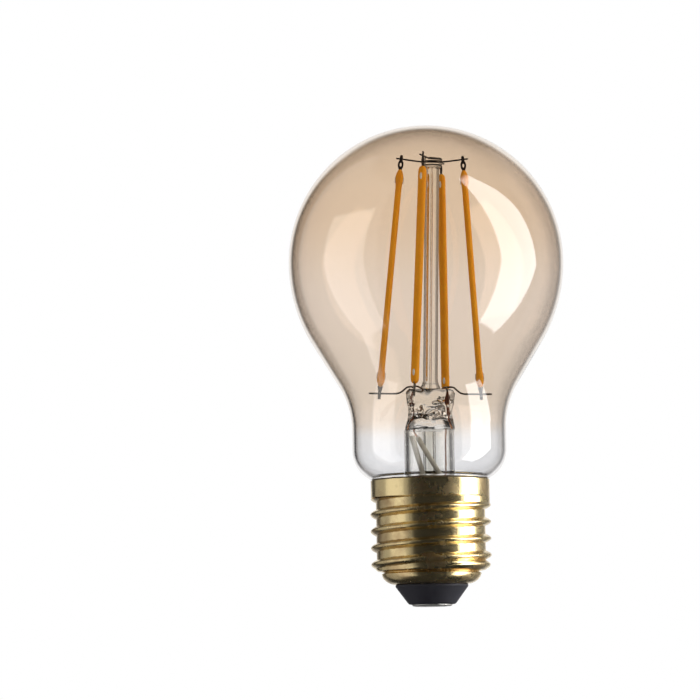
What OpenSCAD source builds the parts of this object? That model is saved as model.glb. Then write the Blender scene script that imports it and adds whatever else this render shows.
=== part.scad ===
// Screw-in filament light bulb with a wireless driver board in its cap.
// Millimetres. The origin is the middle of the contact face, and +Z runs up the bulb's axis.
// -Y is the front, where the press is seen broad side on.

/* [Glass bulb] */
// Height of the glass's widest point above the cap's rim
widest_h = 47.5; // [40:0.5:60]
// Largest diameter of the glass
bulb_d = 60; // [50:0.5:72]
// How much larger the arc below the widest point is than the crown's
lower_arc_extra = 4; // [2:0.5:5]
// Diameter of the neck
neck_d = 33.6; // [31:0.2:38]
// Height of the straight part of the neck
neck_h = 4.7; // [4:0.1:6]
// Largest radius of the hollow fillet between neck and shoulder
neck_fillet_r = 18; // [10:0.5:18]
// Radius of the neck's rounded foot
neck_foot_r = 7.2; // [6.6:0.1:7.6]
// Wall of the glass
glass_wall = 0.8; // [0.6:0.05:1]

/* [Screw cap] */
// Diameter over the thread's crests
thread_d = 26.2; // [26:0.05:32]
// Depth of the thread
thread_depth = 1.25; // [1:0.05:1.4]
// Height of one turn of the thread
thread_pitch = 3.629; // [3.4:0.001:4.4]
// Share of the pitch that the ridge takes
ridge_share = 0.62; // [0.5:0.01:0.7]
// Height of the thread's crest on the left, first turn
first_crest_z = 9.2; // [9:0.1:9.8]
// How far the collar above the thread lies inside the crests
collar_inset = 0.2; // [0.1:0.05:0.4]
// Height of the collar
collar_h = 3.9; // [3.5:0.1:4.6]
// Height of the collar's rim above the contact face
cap_h = 27.5; // [26:0.1:33]
// Sheet thickness of the shell
shell_wall = 0.3; // [0.2:0.05:0.36]
// Largest diameter of the insulator
insulator_d = 15.8; // [14:0.1:18]
// Height of the insulator that shows below the shell
insulator_h = 4.3; // [4:0.1:4.8]
// Diameter of the contact
contact_d = 8.8; // [7.4:0.1:10]
// Thickness of the contact's head
contact_h = 0.5; // [0.4:0.05:0.6]

/* [Stem] */
// Diameter of the flare tube
flare_d = 10.9; // [10:0.1:12]
// Wall of the flare tube
flare_wall = 0.9; // [0.7:0.05:1]
// Height of the press's foot above the cap's rim
press_rise = 10.8; // [10:0.1:13]
// Height of the press
press_h = 9.2; // [8.4:0.1:11]
// Width of the press at its head
press_w = 10.7; // [10:0.1:12.8]
// Thickness of the press at its head
press_t = 4.8; // [4.2:0.1:5.6]
// Diameter of the exhaust tube
exhaust_d = 2.8; // [2.4:0.1:3.3]
// Bore of the exhaust tube
exhaust_bore = 1.7; // [1.4:0.1:1.9]
// Length of the exhaust tube below the press
exhaust_l = 22.3; // [18:0.1:26]
// Diameter of the centre post
post_d = 3.2; // [2.6:0.1:3.9]
// Diameter of the button on the post
button_d = 4.7; // [4.3:0.1:5.6]
// Height of the button
button_h = 2.3; // [2.1:0.1:2.7]
// Lean of the mount towards +X, in degrees
stem_lean = 1.5; // [0:0.1:2]

/* [Wires] */
// Diameter of the lead wires
lead_d = 0.4; // [0.3:0.02:0.5]
// Diameter of the top support wires
support_d = 0.36; // [0.3:0.02:0.44]
// Distance of each seal wire from the middle of the press
seal_x = 3.5; // [3.3:0.1:3.7]
// Diameter of the insulating sleeves
sleeve_d = 1.1; // [0.9:0.05:1.3]
// How far the lead wires at the welds lie below the press's head
lead_drop = 1.1; // [0.8:0.1:1.4]

/* [Filaments] */
// Gap between the upper welds and the crown's outside
crown_gap = 7.2; // [6.6:0.1:12]
// Thickness of the coating across the strip's faces
coat_t = 1.84; // [1.6:0.02:2]
// Width of the coating in the middle
coat_w = 1.46; // [1.4:0.02:1.7]
// Width of the coating's swollen ends
coat_end_w = 1.86; // [1.8:0.02:2]
// Distance from the mount's axis to the lower welds
foot_r = 11.05; // [10.6:0.05:11.4]
// Distance from the mount's axis to the upper welds
head_r = 6.75; // [6.4:0.05:7.2]
// Turn of the front and back pair away from the Y axis, clockwise from above, in degrees
cross_turn = 19.5; // [10:0.5:25]
// Number of LED chips on one filament
chip_count = 28; // [20:1:32]

/* [Driver] */
// Gap between the driver board and the shell
board_gap = 1.25; // [1:0.05:1.6]
// Thickness of the driver board
board_t = 1; // [0.8:0.1:1.2]
// Height of the driver board's underside
board_z = 10.4; // [10.2:0.1:10.8]

/* [Hidden] */
$fn = 96;

brass = "#B8963E";
clear_glass = [0.86, 0.88, 0.86, 0.35];
amber_glass = [0.85, 0.66, 0.42, 0.35];
nickel = "#8C8780";
dark_wire = "#4A4038";
amber_coat = "#C9810F";

// Heights and radii that several parts share
eps = 0.02;
fit_gap = 0.1;
weld_gap = 0.01;
crown_r = bulb_d / 2;
crown_z = cap_h + widest_h;
overall_h = crown_z + crown_r;
neck_r = neck_d / 2;
root_r = thread_d / 2 - thread_depth;
shell_in_r = root_r - shell_wall;
collar_r = thread_d / 2 - collar_inset;
collar_in_r = collar_r - shell_wall;
collar_z = cap_h - collar_h;
throat_r = collar_in_r - 0.4;
throat_z = collar_z + 1.9;
flange_t = 0.8;
press_z = cap_h + press_rise;
press_top_z = press_z + press_h;
lead_z = press_top_z - lead_drop;
post_foot_z = press_top_z - 2.6;
exhaust_tip_z = press_z - exhaust_l;
lean_z = cap_h + 2.5;

// The neck's foot turns in until it meets the throat, just above the cap's rim
foot_x = neck_r - neck_foot_r;
foot_turn = acos((throat_r + 0.45 - foot_x) / neck_foot_r);
foot_z = cap_h + fit_gap + neck_foot_r * sin(foot_turn);
neck_top_z = foot_z + neck_h;

// Filament places: the left, right, front and back one turn about the mount's axis
filament_turns = [180, 0, 270 - cross_turn, 90 - cross_turn];
tab_t = 0.2;
foot_gap = 1.5;
head_gap = 2.4;
head_z = overall_h - crown_gap;
filament_span = norm([foot_r - head_r, head_z - lead_z]);
coat_l = filament_span - foot_gap - head_gap;
filament_tilt = asin((foot_r - head_r) / filament_span);
weld_offset = (lead_d + tab_t) / 2 + weld_gap;
head_shift = (support_d - lead_d) / 2;
button_z = head_z - 2;
strip_w = 1;
strip_t = 0.36;
strip_inset = 1.4;
chip_size = [0.3, 0.12, 0.7];

// Insulator, bowl of the shell and driver board
insulator_r = insulator_d / 2;
insulator_foot_z = contact_h + insulator_h;
insulator_top_z = 8.6;
bore_r = 1.2;
bowl_foot_r = insulator_r - 0.35;
bowl_foot_z = insulator_foot_z + weld_gap;
bowl_top_r = root_r - 1;
bowl_top_z = 7.4;
board_r = shell_in_r - board_gap;
board_top_z = board_z + board_t;
wireless_y = -4;
wireless_size = [9.6, 0.8, 8.2];

// ---------- outlines and skins ----------

// Points of an arc about c from angle a0 to a1
function arc(c, r, a0, a1, n) = [for (i = [0:n]) let (a = a0 + (a1 - a0) * i / n) c + r * [cos(a), sin(a)]];

// Outer surface of the glass, crown to throat, moved inwards by inset
function bulb_outline(inset) =
  let (
    lower_r = crown_r + lower_arc_extra,
    reach = neck_r + lower_arc_extra,
    drop = crown_z - neck_top_z,
    room = (drop * drop - lower_r * lower_r + reach * reach) / (2 * (lower_r - reach)),
    fillet_r = min(neck_fillet_r, 0.95 * room),
    c1 = [-lower_arc_extra, crown_z],
    c2 = [neck_r + fillet_r, neck_top_z],
    v = c2 - c1,
    tangent = atan2(v.y, v.x) + acos((lower_r + fillet_r) / norm(v))
  )
  concat(
    arc([0, crown_z], crown_r - inset, 90, 0, 16),
    arc(c1, lower_r - inset, tangent / 6, tangent, 5),
    arc(c2, fillet_r + inset, 180 + tangent, 180, 7),
    arc([foot_x, foot_z], neck_foot_r - inset, 0, -foot_turn, 8),
    [[throat_r - inset, cap_h - 0.5 - 0.4 * inset], [throat_r - inset, throat_z]]
  );

// Closed skin over rings that have equal numbers of points; looped joins the last ring to the first
module skin(rings, looped = false) {
  count = len(rings);
  m = len(rings[0]);
  spans = looped ? count : count - 1;
  sides = [
    for (i = [0:spans - 1], j = [0:m - 1])
      let (a = i * m, b = ((i + 1) % count) * m, k = (j + 1) % m)
      each [[a + j, b + j, b + k], [a + j, b + k, a + k]]
  ];
  caps = looped ? [] : [
    [for (j = [0:m - 1]) j],
    [for (j = [m - 1:-1:0]) (count - 1) * m + j]
  ];
  polyhedron(points = [for (r = rings) each r], faces = concat(sides, caps));
}

function unit(v) = v / norm(v);

// Rings of a round wire along a path; side is a direction that no stretch of the path runs along
function wire_rings(path, d, side, sides) =
  let (last = len(path) - 1)
  [
    for (i = [0:last])
      let (
        along = unit(path[min(i + 1, last)] - path[max(i - 1, 0)]),
        u = unit(cross(side, along)),
        w = cross(along, u)
      )
      [for (k = [0:sides - 1]) path[i] + d / 2 * (cos(360 * k / sides) * u - sin(360 * k / sides) * w)]
  ];

module wire(path, d, side = [0, 1, 0], sides = 8) {
  skin(wire_rings(path, d, side, sides));
}

// The mount leans as one about the foot of the neck
module leaning() {
  translate([0, 0, lean_z]) rotate([0, stem_lean, 0]) translate([0, 0, -lean_z]) children();
}

function leaned(p) = [
  p.x * cos(stem_lean) + (p.z - lean_z) * sin(stem_lean),
  p.y,
  lean_z - p.x * sin(stem_lean) + (p.z - lean_z) * cos(stem_lean)
];

// ---------- cap ----------

// Height of the ridge over the root at one place, from 0 to 1, fading in over the first half turn
function ridge(z, turn) =
  let (
    phase = (z - first_crest_z) / thread_pitch - (turn - 180) / 360,
    off = phase - round(phase),
    fade = min(1, max(0, 2 * (z - first_crest_z) / thread_pitch + 1))
  )
  abs(off) > ridge_share / 2 ? 0 : fade * (0.5 + 0.5 * cos(360 * off / ridge_share));

// The last crest before the collar, and how far the groove above it has closed
full_turns = floor((collar_z - first_crest_z) / thread_pitch - 0.45);

function last_crest_z(turn) =
  first_crest_z + thread_pitch * (full_turns + (turn < 180 ? turn + 180 : turn - 180) / 360);

function run_out(z, turn) =
  z < last_crest_z(turn) ? 0 : turn < 180 ? 1 : min(1, max(0, (turn - 280) / 80));

function thread_r(z, turn) =
  max(root_r + ridge(z, turn) * thread_depth, root_r + run_out(z, turn) * (collar_r - root_r));

// The bowl below the thread, from its foot to its top, moved inwards by inset
function bowl(inset) = [
  for (a = [0:22.5:90])
    [
      bowl_foot_r + (bowl_top_r - bowl_foot_r - inset) * sin(a),
      bowl_top_z - (bowl_top_z - bowl_foot_z - inset) * cos(a)
    ]
];

// Half a cut through the shell at one turn, from the foot to the rim, moved inwards by inset
thread_rows = 33;
thread_z0 = bowl_top_z + 0.9;

function shell_line(turn, inset) =
  concat(
    bowl(inset),
    [[bowl_top_r + 0.3 - inset, bowl_top_z + 0.2], [root_r - inset, bowl_top_z + 0.5]],
    [
      for (i = [0:thread_rows])
        let (z = thread_z0 + (collar_z - 0.35 - thread_z0) * i / thread_rows)
        [thread_r(z, turn) - inset, z]
    ],
    [[collar_r - inset, collar_z], [collar_r - inset, cap_h - 0.2], [collar_r + 0.04 - inset, cap_h]]
  );

// The whole cut through the shell's sheet: up the outside, then down the inside
function shell_section(turn) =
  [
    for (p = concat(shell_line(turn, 0), reversed(shell_line(turn, shell_wall))))
      [p.x * cos(turn), p.x * sin(turn), p.y]
  ];

shell_sides = 40;

module screw_shell() color(brass)
  skin([for (i = [0:shell_sides - 1]) shell_section(360 - 360 * i / shell_sides)], looped = true);

// The insulator fills the bowl from inside, and the shell's foot sits in a groove round it
module cap_insulator() color("#1E1E22")
  rotate_extrude()
    polygon(concat(
      [
        [bore_r, contact_h],
        [contact_d / 2 + 0.6, contact_h],
        [contact_d / 2 + 0.9, contact_h + 0.3],
        [insulator_r, insulator_foot_z - 0.3],
        [insulator_r, insulator_foot_z],
        [bowl_foot_r - 0.25, insulator_foot_z],
        [bowl_foot_r - 0.25, bowl_foot_z + shell_wall + 2 * fit_gap]
      ],
      bowl(shell_wall + 2 * fit_gap),
      [
        [bowl_top_r - shell_wall - 2 * fit_gap, insulator_top_z],
        [insulator_r - 1, insulator_top_z],
        [insulator_r - 2, insulator_top_z - 1.2],
        [bore_r, insulator_top_z - 1.2]
      ]
    ));

// A broad-headed pin pushed up into the insulator's bore
module centre_contact() color("#C8C6C0")
  rotate_extrude()
    polygon([
      [0, 0],
      [contact_d / 2 - 1, 0],
      [contact_d / 2 - 0.3, 0.1],
      [contact_d / 2, 0.3],
      [contact_d / 2, contact_h],
      [bore_r - fit_gap / 2, contact_h],
      [bore_r - fit_gap / 2, insulator_top_z - 2.6],
      [bore_r - 0.5, insulator_top_z - 2.2],
      [0, insulator_top_z - 2.2]
    ]);

neutral_turn = 80;
neutral_d = 0.3;
neutral_path = [
  [board_r - 0.9, 0, board_top_z],
  [board_r - 0.9, 0, board_top_z + 1],
  [shell_in_r - 0.4, 0, board_top_z + 2.6],
  [shell_in_r - 0.4, 0, collar_z - 0.9],
  [shell_in_r - 0.35, 0, collar_z - 0.4],
  [collar_in_r - 0.2, 0, throat_z - flange_t - 0.2],
  [collar_in_r - 0.2, 0, cap_h - 0.4]
];

module neutral_wire() color("#B5794A")
  rotate([0, 0, neutral_turn]) wire(neutral_path, neutral_d);

module basing_cement() color("#9A8560")
  difference() {
    translate([0, 0, throat_z - flange_t])
      cylinder(r = collar_in_r - 0.05, h = cap_h - 0.6 - throat_z + flange_t);
    translate([0, 0, throat_z - flange_t - 1]) cylinder(r = throat_r, h = collar_h + 2);
    neutral_wire();
  }

// ---------- glass ----------

function reversed(list) = [for (i = [len(list) - 1:-1:0]) list[i]];

module glass_envelope() color(amber_glass)
  rotate_extrude() polygon(concat(bulb_outline(0), reversed(bulb_outline(glass_wall))));

// The tube widens like a trumpet to the flange that the envelope stands on
flare_bell_h = 3.4;

function flare_outline(r0, z0, bell_r) =
  [for (i = [0:8]) let (a = 90 * i / 8) [r0 + bell_r * (1 - cos(a)), z0 - flare_bell_h * sin(a)]];

module flare_tube() color(clear_glass)
  rotate_extrude()
    let (
      z0 = throat_z - flange_t + flare_bell_h,
      out_r = flare_d / 2,
      in_r = out_r - flare_wall
    )
    polygon(concat(
      [[in_r, press_z], [out_r, press_z]],
      flare_outline(out_r, z0 + flange_t, throat_r - glass_wall - fit_gap - out_r),
      [[throat_r, throat_z], [throat_r, throat_z - flange_t]],
      reversed(flare_outline(in_r, z0, throat_r - glass_wall - fit_gap - in_r))
    ));

// Rings of the press: height share, half width, half thickness and squareness
press_rows = [
  [0.00, flare_d / 2, flare_d / 2, 2],
  [0.10, flare_d / 2 - 0.05, flare_d / 2 - 0.7, 2],
  [0.24, press_w / 2 - 0.35, press_t / 2 + 0.6, 2.4],
  [0.38, press_w / 2 - 0.5, press_t / 2 + 0.1, 3],
  [0.62, press_w / 2 - 0.25, press_t / 2, 3.4],
  [0.86, press_w / 2, press_t / 2, 3.4],
  [0.95, press_w / 2 - 0.15, press_t / 2 - 0.25, 3.2],
  [1.00, press_w / 2 - 0.7, press_t / 2 - 0.8, 3]
];
press_sides = 28;

function rounded(v, n) = sign(v) * pow(abs(v), 2 / n);

function press_ring(row) =
  [
    for (k = [0:press_sides - 1])
      let (
        a = 360 * k / press_sides,
        p = [
          row[1] * rounded(cos(a), row[3]),
          -row[2] * rounded(sin(a), row[3]),
          press_z + press_h * row[0]
        ]
      )
      row[0] == 0 ? p : leaned(p)
  ];

module seal_wire(side, z0, z1, d) {
  leaning() translate([side * seal_x, 0, z0]) cylinder(d = d, h = z1 - z0, $fn = 24);
}

// The post is sunk into the press, and a gas channel runs from the exhaust tube to the press's front
module press_seal() color(clear_glass)
  difference() {
    skin([for (row = press_rows) press_ring(row)]);
    leaning() translate([0, 0, post_foot_z]) cylinder(d = post_d, h = press_h);
    for (side = [-1, 1]) seal_wire(side, press_z - 1, press_top_z + 1, lead_d + eps);
    translate([0, 0, press_z - 1]) cylinder(d = exhaust_bore, h = 4.2);
    translate([0, 0, press_z + 2.5]) rotate([90, 0, 0]) cylinder(d = 1.1, h = press_t);
  }

module exhaust_tube() color(clear_glass)
  rotate_extrude()
    polygon([
      [exhaust_bore / 2, press_z],
      [exhaust_d / 2, press_z],
      [exhaust_d / 2, exhaust_tip_z + 2],
      [exhaust_d / 2 - 0.4, exhaust_tip_z + 0.8],
      [0, exhaust_tip_z],
      [0, exhaust_tip_z + 1.4],
      [exhaust_bore / 2, exhaust_tip_z + 2.6]
    ]);

module centre_post() color(clear_glass)
  leaning() translate([0, 0, post_foot_z]) cylinder(d = post_d, h = button_z - post_foot_z);

// A support wire runs straight through the button and rises on both sides of it
side_mid_z = head_z - 0.55;
cross_mid_z = head_z - 0.05;
support_tip_r = head_r + 1.1;
bend_r = button_d / 2 + 0.2;

function support_path(mid_z) =
  let (rise = (head_z - mid_z) / (head_r - bend_r))
  [
    [-support_tip_r, 0, mid_z + rise * (support_tip_r - bend_r)],
    [-bend_r, 0, mid_z],
    [bend_r, 0, mid_z],
    [support_tip_r, 0, mid_z + rise * (support_tip_r - bend_r)]
  ];

module support_wire(mid_z) wire(support_path(mid_z), support_d);

module support_wire_side() color(dark_wire)
  leaning() support_wire(side_mid_z);

module support_wire_cross() color(dark_wire)
  leaning() rotate([0, 0, filament_turns[3]]) support_wire(cross_mid_z);

module post_button() color(clear_glass)
  difference() {
    leaning() translate([0, 0, button_z]) rotate_extrude()
      polygon([
        [0, 0],
        [post_d / 2 + 0.25, 0],
        [post_d / 2 + 0.25, 0.25],
        [button_d / 2 - 0.25, 0.45],
        [button_d / 2, 0.75],
        [button_d / 2, button_h - 0.3],
        [button_d / 2 - 0.2, button_h],
        [0, button_h]
      ]);
    leaning() translate([0, 0, side_mid_z]) rotate([0, 90, 0])
      cylinder(d = support_d + eps, h = button_d + 1, center = true, $fn = 24);
    leaning() rotate([0, 0, filament_turns[3]]) translate([0, 0, cross_mid_z]) rotate([0, 90, 0])
      cylinder(d = support_d + eps, h = button_d + 1, center = true, $fn = 24);
  }

// ---------- lead wires ----------

module seal_wire_left() color("#8E3B22") seal_wire(-1, press_z + 0.8, press_top_z - 1.1, lead_d);
module seal_wire_right() color("#8E3B22") seal_wire(1, press_z + 0.8, press_top_z - 1.1, lead_d);

lead_tip_r = foot_r + 2.35;
lead_path = [
  [seal_x, 0, press_top_z - 1.1],
  [seal_x, 0, press_top_z + 0.05],
  [seal_x + 0.3, 0, press_top_z + 0.38],
  [seal_x + 0.9, 0, press_top_z + 0.5],
  [seal_x + 1.6, 0, press_top_z + 0.35],
  [seal_x + 2.3, 0, lead_z + 0.85],
  [seal_x + 3.0, 0, lead_z + 0.3],
  [seal_x + 3.8, 0, lead_z + 0.05],
  [seal_x + 4.6, 0, lead_z],
  [lead_tip_r, 0, lead_z]
];

module inner_lead_left() color(nickel) leaning() rotate([0, 0, 180]) wire(lead_path, lead_d);
module inner_lead_right() color(nickel) leaning() wire(lead_path, lead_d);

// A branch is welded beside the right lead's arch and reaches the filament behind the press
function at_back(r, z) = [r * cos(filament_turns[3]), r * sin(filament_turns[3]), z];

branch_path = [
  [seal_x + 1.1, lead_d, press_top_z + 0.45],
  [seal_x + 0.4, lead_d + 0.1, press_top_z + 0.5],
  [seal_x - 0.2, 1.2, press_top_z + 0.5],
  [seal_x - 0.8, 2.6, press_top_z + 0.35],
  at_back(4.6, lead_z + 0.6),
  at_back(5.8, lead_z + 0.1),
  at_back(6.8, lead_z),
  at_back(lead_tip_r, lead_z)
];

module branch_wire_front() color(nickel) leaning() rotate([0, 0, 180]) wire(branch_path, lead_d, side = [0, 0, 1]);
module branch_wire_back() color(nickel) leaning() wire(branch_path, lead_d, side = [0, 0, 1]);

// The outer leads run down the flare tube to the board, clear of the exhaust tube
left_route = [
  leaned([-seal_x, 0, press_z + 0.8]),
  leaned([-seal_x, 0, press_z - 0.3]),
  [-2.4, -1.0, press_z - 1.7],
  [-1.1, -2.3, press_z - 4.1],
  [0.3, -2.9, press_z - 6.7],
  [1.6, -2.8, press_z - 9.3],
  [2.5, -2.5, press_z - 11.7],
  [3.0, -2.2, press_z - 14.7],
  [3.2, -2.0, board_top_z + 9],
  [3.2, -1.9, board_top_z + 5.6],
  [3.2, -1.6, board_top_z + 2.8],
  [3.2, -1.4, board_z]
];
right_route = [
  leaned([seal_x, 0, press_z + 0.8]),
  leaned([seal_x, 0, press_z - 0.3]),
  [3.6, 0.3, press_z - 1.9],
  [3.6, 0.6, press_z - 5.3],
  [3.6, 0.8, press_z - 9.3],
  [3.5, 0.9, press_z - 13.3],
  [3.4, 0.7, board_top_z + 9.6],
  [3.4, 0.5, board_top_z + 5.6],
  [3.3, 0.4, board_z]
];
antenna_route = [
  [-3.5, -1.7, press_z - 1.3],
  [-3.1, -1.9, press_z - 3.1],
  [-2.6, -2.2, press_z - 5.3],
  [-2.0, -2.5, press_z - 7.7],
  [-1.5, -2.6, press_z - 10.3],
  [-1.3, -2.7, press_z - 13.1],
  [-1.4, -2.7, press_z - 15.7],
  [-1.4, -2.8, board_top_z + 9],
  [-1.4, wireless_y + (wireless_size.y + lead_d) / 2, board_top_z + 7.4]
];

// A tube round the stretch of a route that lies between two of its points
module sleeve(route, first, last)
  let (
    outside = wire_rings(route, sleeve_d, [0, 1, 0], 8),
    bore = wire_rings(route, lead_d + 2 * eps, [0, 1, 0], 8)
  )
  skin(
    concat([for (i = [first:last]) outside[i]], [for (i = [last:-1:first]) bore[i]]),
    looped = true
  );

module outer_lead_left() color("#A8743C") wire(left_route, lead_d);
module outer_lead_right() color("#A8743C") wire(right_route, lead_d);
module lead_sleeve_left() color("#D8CDB4") sleeve(left_route, 2, 10);
module lead_sleeve_right() color("#D8CDB4") sleeve(right_route, 5, 7);
module antenna_wire() color("#A8743C") wire(antenna_route, lead_d);
module antenna_sleeve() color("#D8CDB4") sleeve(antenna_route, 0, 7);

// ---------- filaments ----------

// Local Z runs up the strip from the lower weld, local X away from the axis, local Y across the strip
module at_filament(i)
  leaning() rotate([0, 0, filament_turns[i]]) translate([foot_r, weld_offset, lead_z])
    rotate([0, -filament_tilt, 0]) children();

// Rings of the coating: distance from an end, half width, half thickness
coat_rows = [
  [0, 0.24, 0.22],
  [0.35, coat_end_w * 0.33, coat_t * 0.34],
  [1.1, coat_end_w * 0.46, coat_t * 0.46],
  [2.2, coat_end_w / 2, coat_t / 2],
  [3.4, (coat_end_w + coat_w) / 4 + 0.05, coat_t / 2],
  [4.6, coat_w / 2, coat_t / 2]
];
coat_sides = 14;

function coat_ring(row, z) = [
  for (k = [0:coat_sides - 1])
    let (a = -360 * (k + 0.5) / coat_sides) [row[1] * cos(a), row[2] * sin(a), z]
];

module coating_body()
  skin(concat(
    [for (row = coat_rows) coat_ring(row, foot_gap + row[0])],
    [for (row = reversed(coat_rows)) coat_ring(row, foot_gap + coat_l - row[0])]
  ));

strip_z = foot_gap + strip_inset;
strip_l = coat_l - 2 * strip_inset;

module strip_body() translate([-strip_w / 2, -strip_t / 2, strip_z]) cube([strip_w, strip_t, strip_l]);

module chip_bodies()
  for (k = [0:chip_count - 1])
    translate([
      -chip_size.x / 2,
      strip_t / 2,
      strip_z + strip_l * (k + 0.5) / chip_count - chip_size.z / 2
    ]) cube(chip_size);

// A tab is a flat plate in the strip's plane
module plate(points) rotate([90, 0, 0]) translate([0, 0, -tab_t / 2]) linear_extrude(tab_t) polygon(points);

foot_tab_w = 1.1;
stub_w = 0.66;

module foot_tab_body()
  plate([
    [-foot_tab_w / 2, strip_z],
    [foot_tab_w / 2, strip_z],
    [foot_tab_w / 2, foot_gap - 0.1],
    [stub_w / 2, 0.3],
    [stub_w / 2, -1.3],
    [-stub_w / 2, -1.3],
    [-stub_w / 2, 0.3],
    [-foot_tab_w / 2, foot_gap - 0.1]
  ]);

eye_w = 1.3;
eye_h = 0.6;
eye_bore = 0.55;

// The upper tab has a long eye between the coating and the weld
module top_tab_body() {
  eye_z = filament_span - head_gap + 1.05;
  translate([0, head_shift, 0]) difference() {
    union() {
      plate([
        [-stub_w / 2, strip_z + strip_l],
        [stub_w / 2, strip_z + strip_l],
        [stub_w / 2, filament_span + 0.95],
        [-stub_w / 2, filament_span + 0.95]
      ]);
      for (side = [-1, 1])
        translate([0, tab_t / 2, eye_z + side * eye_h / 2]) rotate([90, 0, 0])
          cylinder(d = eye_w, h = tab_t, $fn = 32);
      translate([-eye_w / 2, -tab_t / 2, eye_z - eye_h / 2]) cube([eye_w, tab_t, eye_h]);
    }
    for (side = [-1, 1])
      translate([0, tab_t, eye_z + side * eye_h / 2]) rotate([90, 0, 0])
        cylinder(d = eye_bore, h = 2 * tab_t, $fn = 32);
    translate([-eye_bore / 2, -tab_t, eye_z - eye_h / 2]) cube([eye_bore, 2 * tab_t, eye_h]);
  }
}

module filament_coating(i) color(amber_coat)
  at_filament(i) difference() {
    coating_body();
    strip_body();
    chip_bodies();
    foot_tab_body();
    top_tab_body();
  }

module filament_strip(i) color("#E8E4D8") at_filament(i) strip_body();
module filament_chips(i) color("#5E8FB0") at_filament(i) chip_bodies();
module filament_top_tab(i) color(dark_wire) at_filament(i) top_tab_body();
module filament_foot_tab(i) color("#9AA3A0") at_filament(i) foot_tab_body();

// ---------- driver ----------

// A place on the board, by its turn about the axis and its distance from the edge
function from_edge(turn, inset) = (board_r - inset) * [cos(turn), sin(turn)];

capacitor_at = from_edge(42, 3);
choke_at = from_edge(132.5, 3.5);
rectifier_at = from_edge(187.5, 3.35);
fuse_at = from_edge(326.5, 1.9);
chip_at = from_edge(271.5, 3.6);
lead_holes = [[3.2, -1.4], [3.3, 0.4]];

// A box that stands on the board, centred on a place
module on_board(at, size) translate([at.x - size.x / 2, at.y - size.y / 2, board_top_z]) cube(size);

module driver_board() color("#2E6B3E")
  difference() {
    translate([0, 0, board_z]) cylinder(r = board_r, h = board_t);
    for (p = lead_holes) translate([p.x, p.y, board_z - 1]) cylinder(d = lead_d + 0.1, h = board_t + 2, $fn = 24);
    translate([0, 0, board_z - 1]) cylinder(d = 0.9, h = board_t + 2, $fn = 24);
  }

module bridge_rectifier() color("#26262A") {
  on_board(rectifier_at, [3.8, 4.7, 2.4]);
  for (x = [-1, 1], y = [-1, 1])
    on_board([rectifier_at.x + x * 2.1, rectifier_at.y + y * 1.3], [0.5, 0.6, 0.25]);
}

module smoothing_capacitor() color("#3A3A44")
  translate([capacitor_at.x, capacitor_at.y, board_top_z]) rotate_extrude()
    polygon([
      [0, 0], [3, 0], [3.15, 0.2], [3.15, 1.2], [2.95, 1.45], [3.15, 1.7],
      [3.15, 7.8], [2.9, 8.1], [2.4, 8.1], [2.3, 8], [0, 8]
    ]);

choke_d = 6;
choke_h = 5;
choke_flange_t = 0.9;

module choke_core() color("#3F3F3F")
  translate([choke_at.x, choke_at.y, board_top_z]) {
    cylinder(d = choke_d, h = choke_flange_t);
    translate([0, 0, choke_flange_t]) cylinder(d = choke_d / 2, h = choke_h - 2 * choke_flange_t);
    translate([0, 0, choke_h - choke_flange_t]) cylinder(d = choke_d, h = choke_flange_t);
  }

module choke_winding() color("#B5622D")
  translate([choke_at.x, choke_at.y, board_top_z + choke_flange_t]) difference() {
    cylinder(d = choke_d - 0.7, h = choke_h - 2 * choke_flange_t);
    translate([0, 0, -1]) cylinder(d = choke_d / 2, h = choke_h);
  }

module driver_chip() color("#202024") {
  on_board(chip_at, [4.9, 3.1, 1.5]);
  for (k = [0:3], side = [-1, 1])
    on_board([chip_at.x - 1.905 + 1.27 * k, chip_at.y + side * 1.85], [0.42, 0.6, 0.25]);
}

module fuse_resistor() color("#4F7C6A")
  translate([fuse_at.x, fuse_at.y, board_top_z]) rotate_extrude()
    polygon([
      [0, 0], [0.3, 0], [0.3, 0.8], [1, 0.9], [1.25, 1.2], [1.25, 2],
      [1.05, 2.4], [1.05, 5], [1.25, 5.4], [1.25, 6.2], [1, 6.5], [0, 6.6]
    ]);

module wireless_board() color("#1F4F8A")
  translate([-wireless_size.x / 2 - 0.8, wireless_y - wireless_size.y / 2, board_top_z]) cube(wireless_size);

module wireless_chip() color("#A9ACB0")
  translate([-2.9, wireless_y - wireless_size.y / 2 - 0.9, board_top_z + 3.2]) cube([4, 0.9, 4]);

module chip_components() color("#B79A6A")
  for (p = [
    from_edge(261, 0.9), from_edge(277.5, 0.9), from_edge(161, 1.1), from_edge(94, 1.7),
    from_edge(352, 1.6), [1.2, 2.6], [-0.9, 2.4]
  ])
    on_board(p, [1.2, 0.8, 0.5]);

module board_solder() color("#B8B8B4")
  for (p = concat(lead_holes, [
    [capacitor_at.x - 1.2, capacitor_at.y], [capacitor_at.x + 1.2, capacitor_at.y],
    [choke_at.x - 1.5, choke_at.y], [choke_at.x + 1.5, choke_at.y], fuse_at
  ]))
    translate([p.x, p.y, board_z - 0.6]) cylinder(d1 = 0.5, d2 = 1.3, h = 0.6, $fn = 24);

live_path = [
  [0.3, 0, insulator_top_z - 2.2],
  [0.3, 0, insulator_top_z - 1.4],
  [0.2, 0, insulator_top_z],
  [0.05, 0, board_z - 0.8],
  [0, 0, board_z - 0.1],
  [0, 0, board_top_z + 0.5]
];

module live_wire() color("#A33A2C") wire(live_path, 0.6);

// ---------- nodes ----------

names = ["left", "right", "front", "back"];

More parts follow.
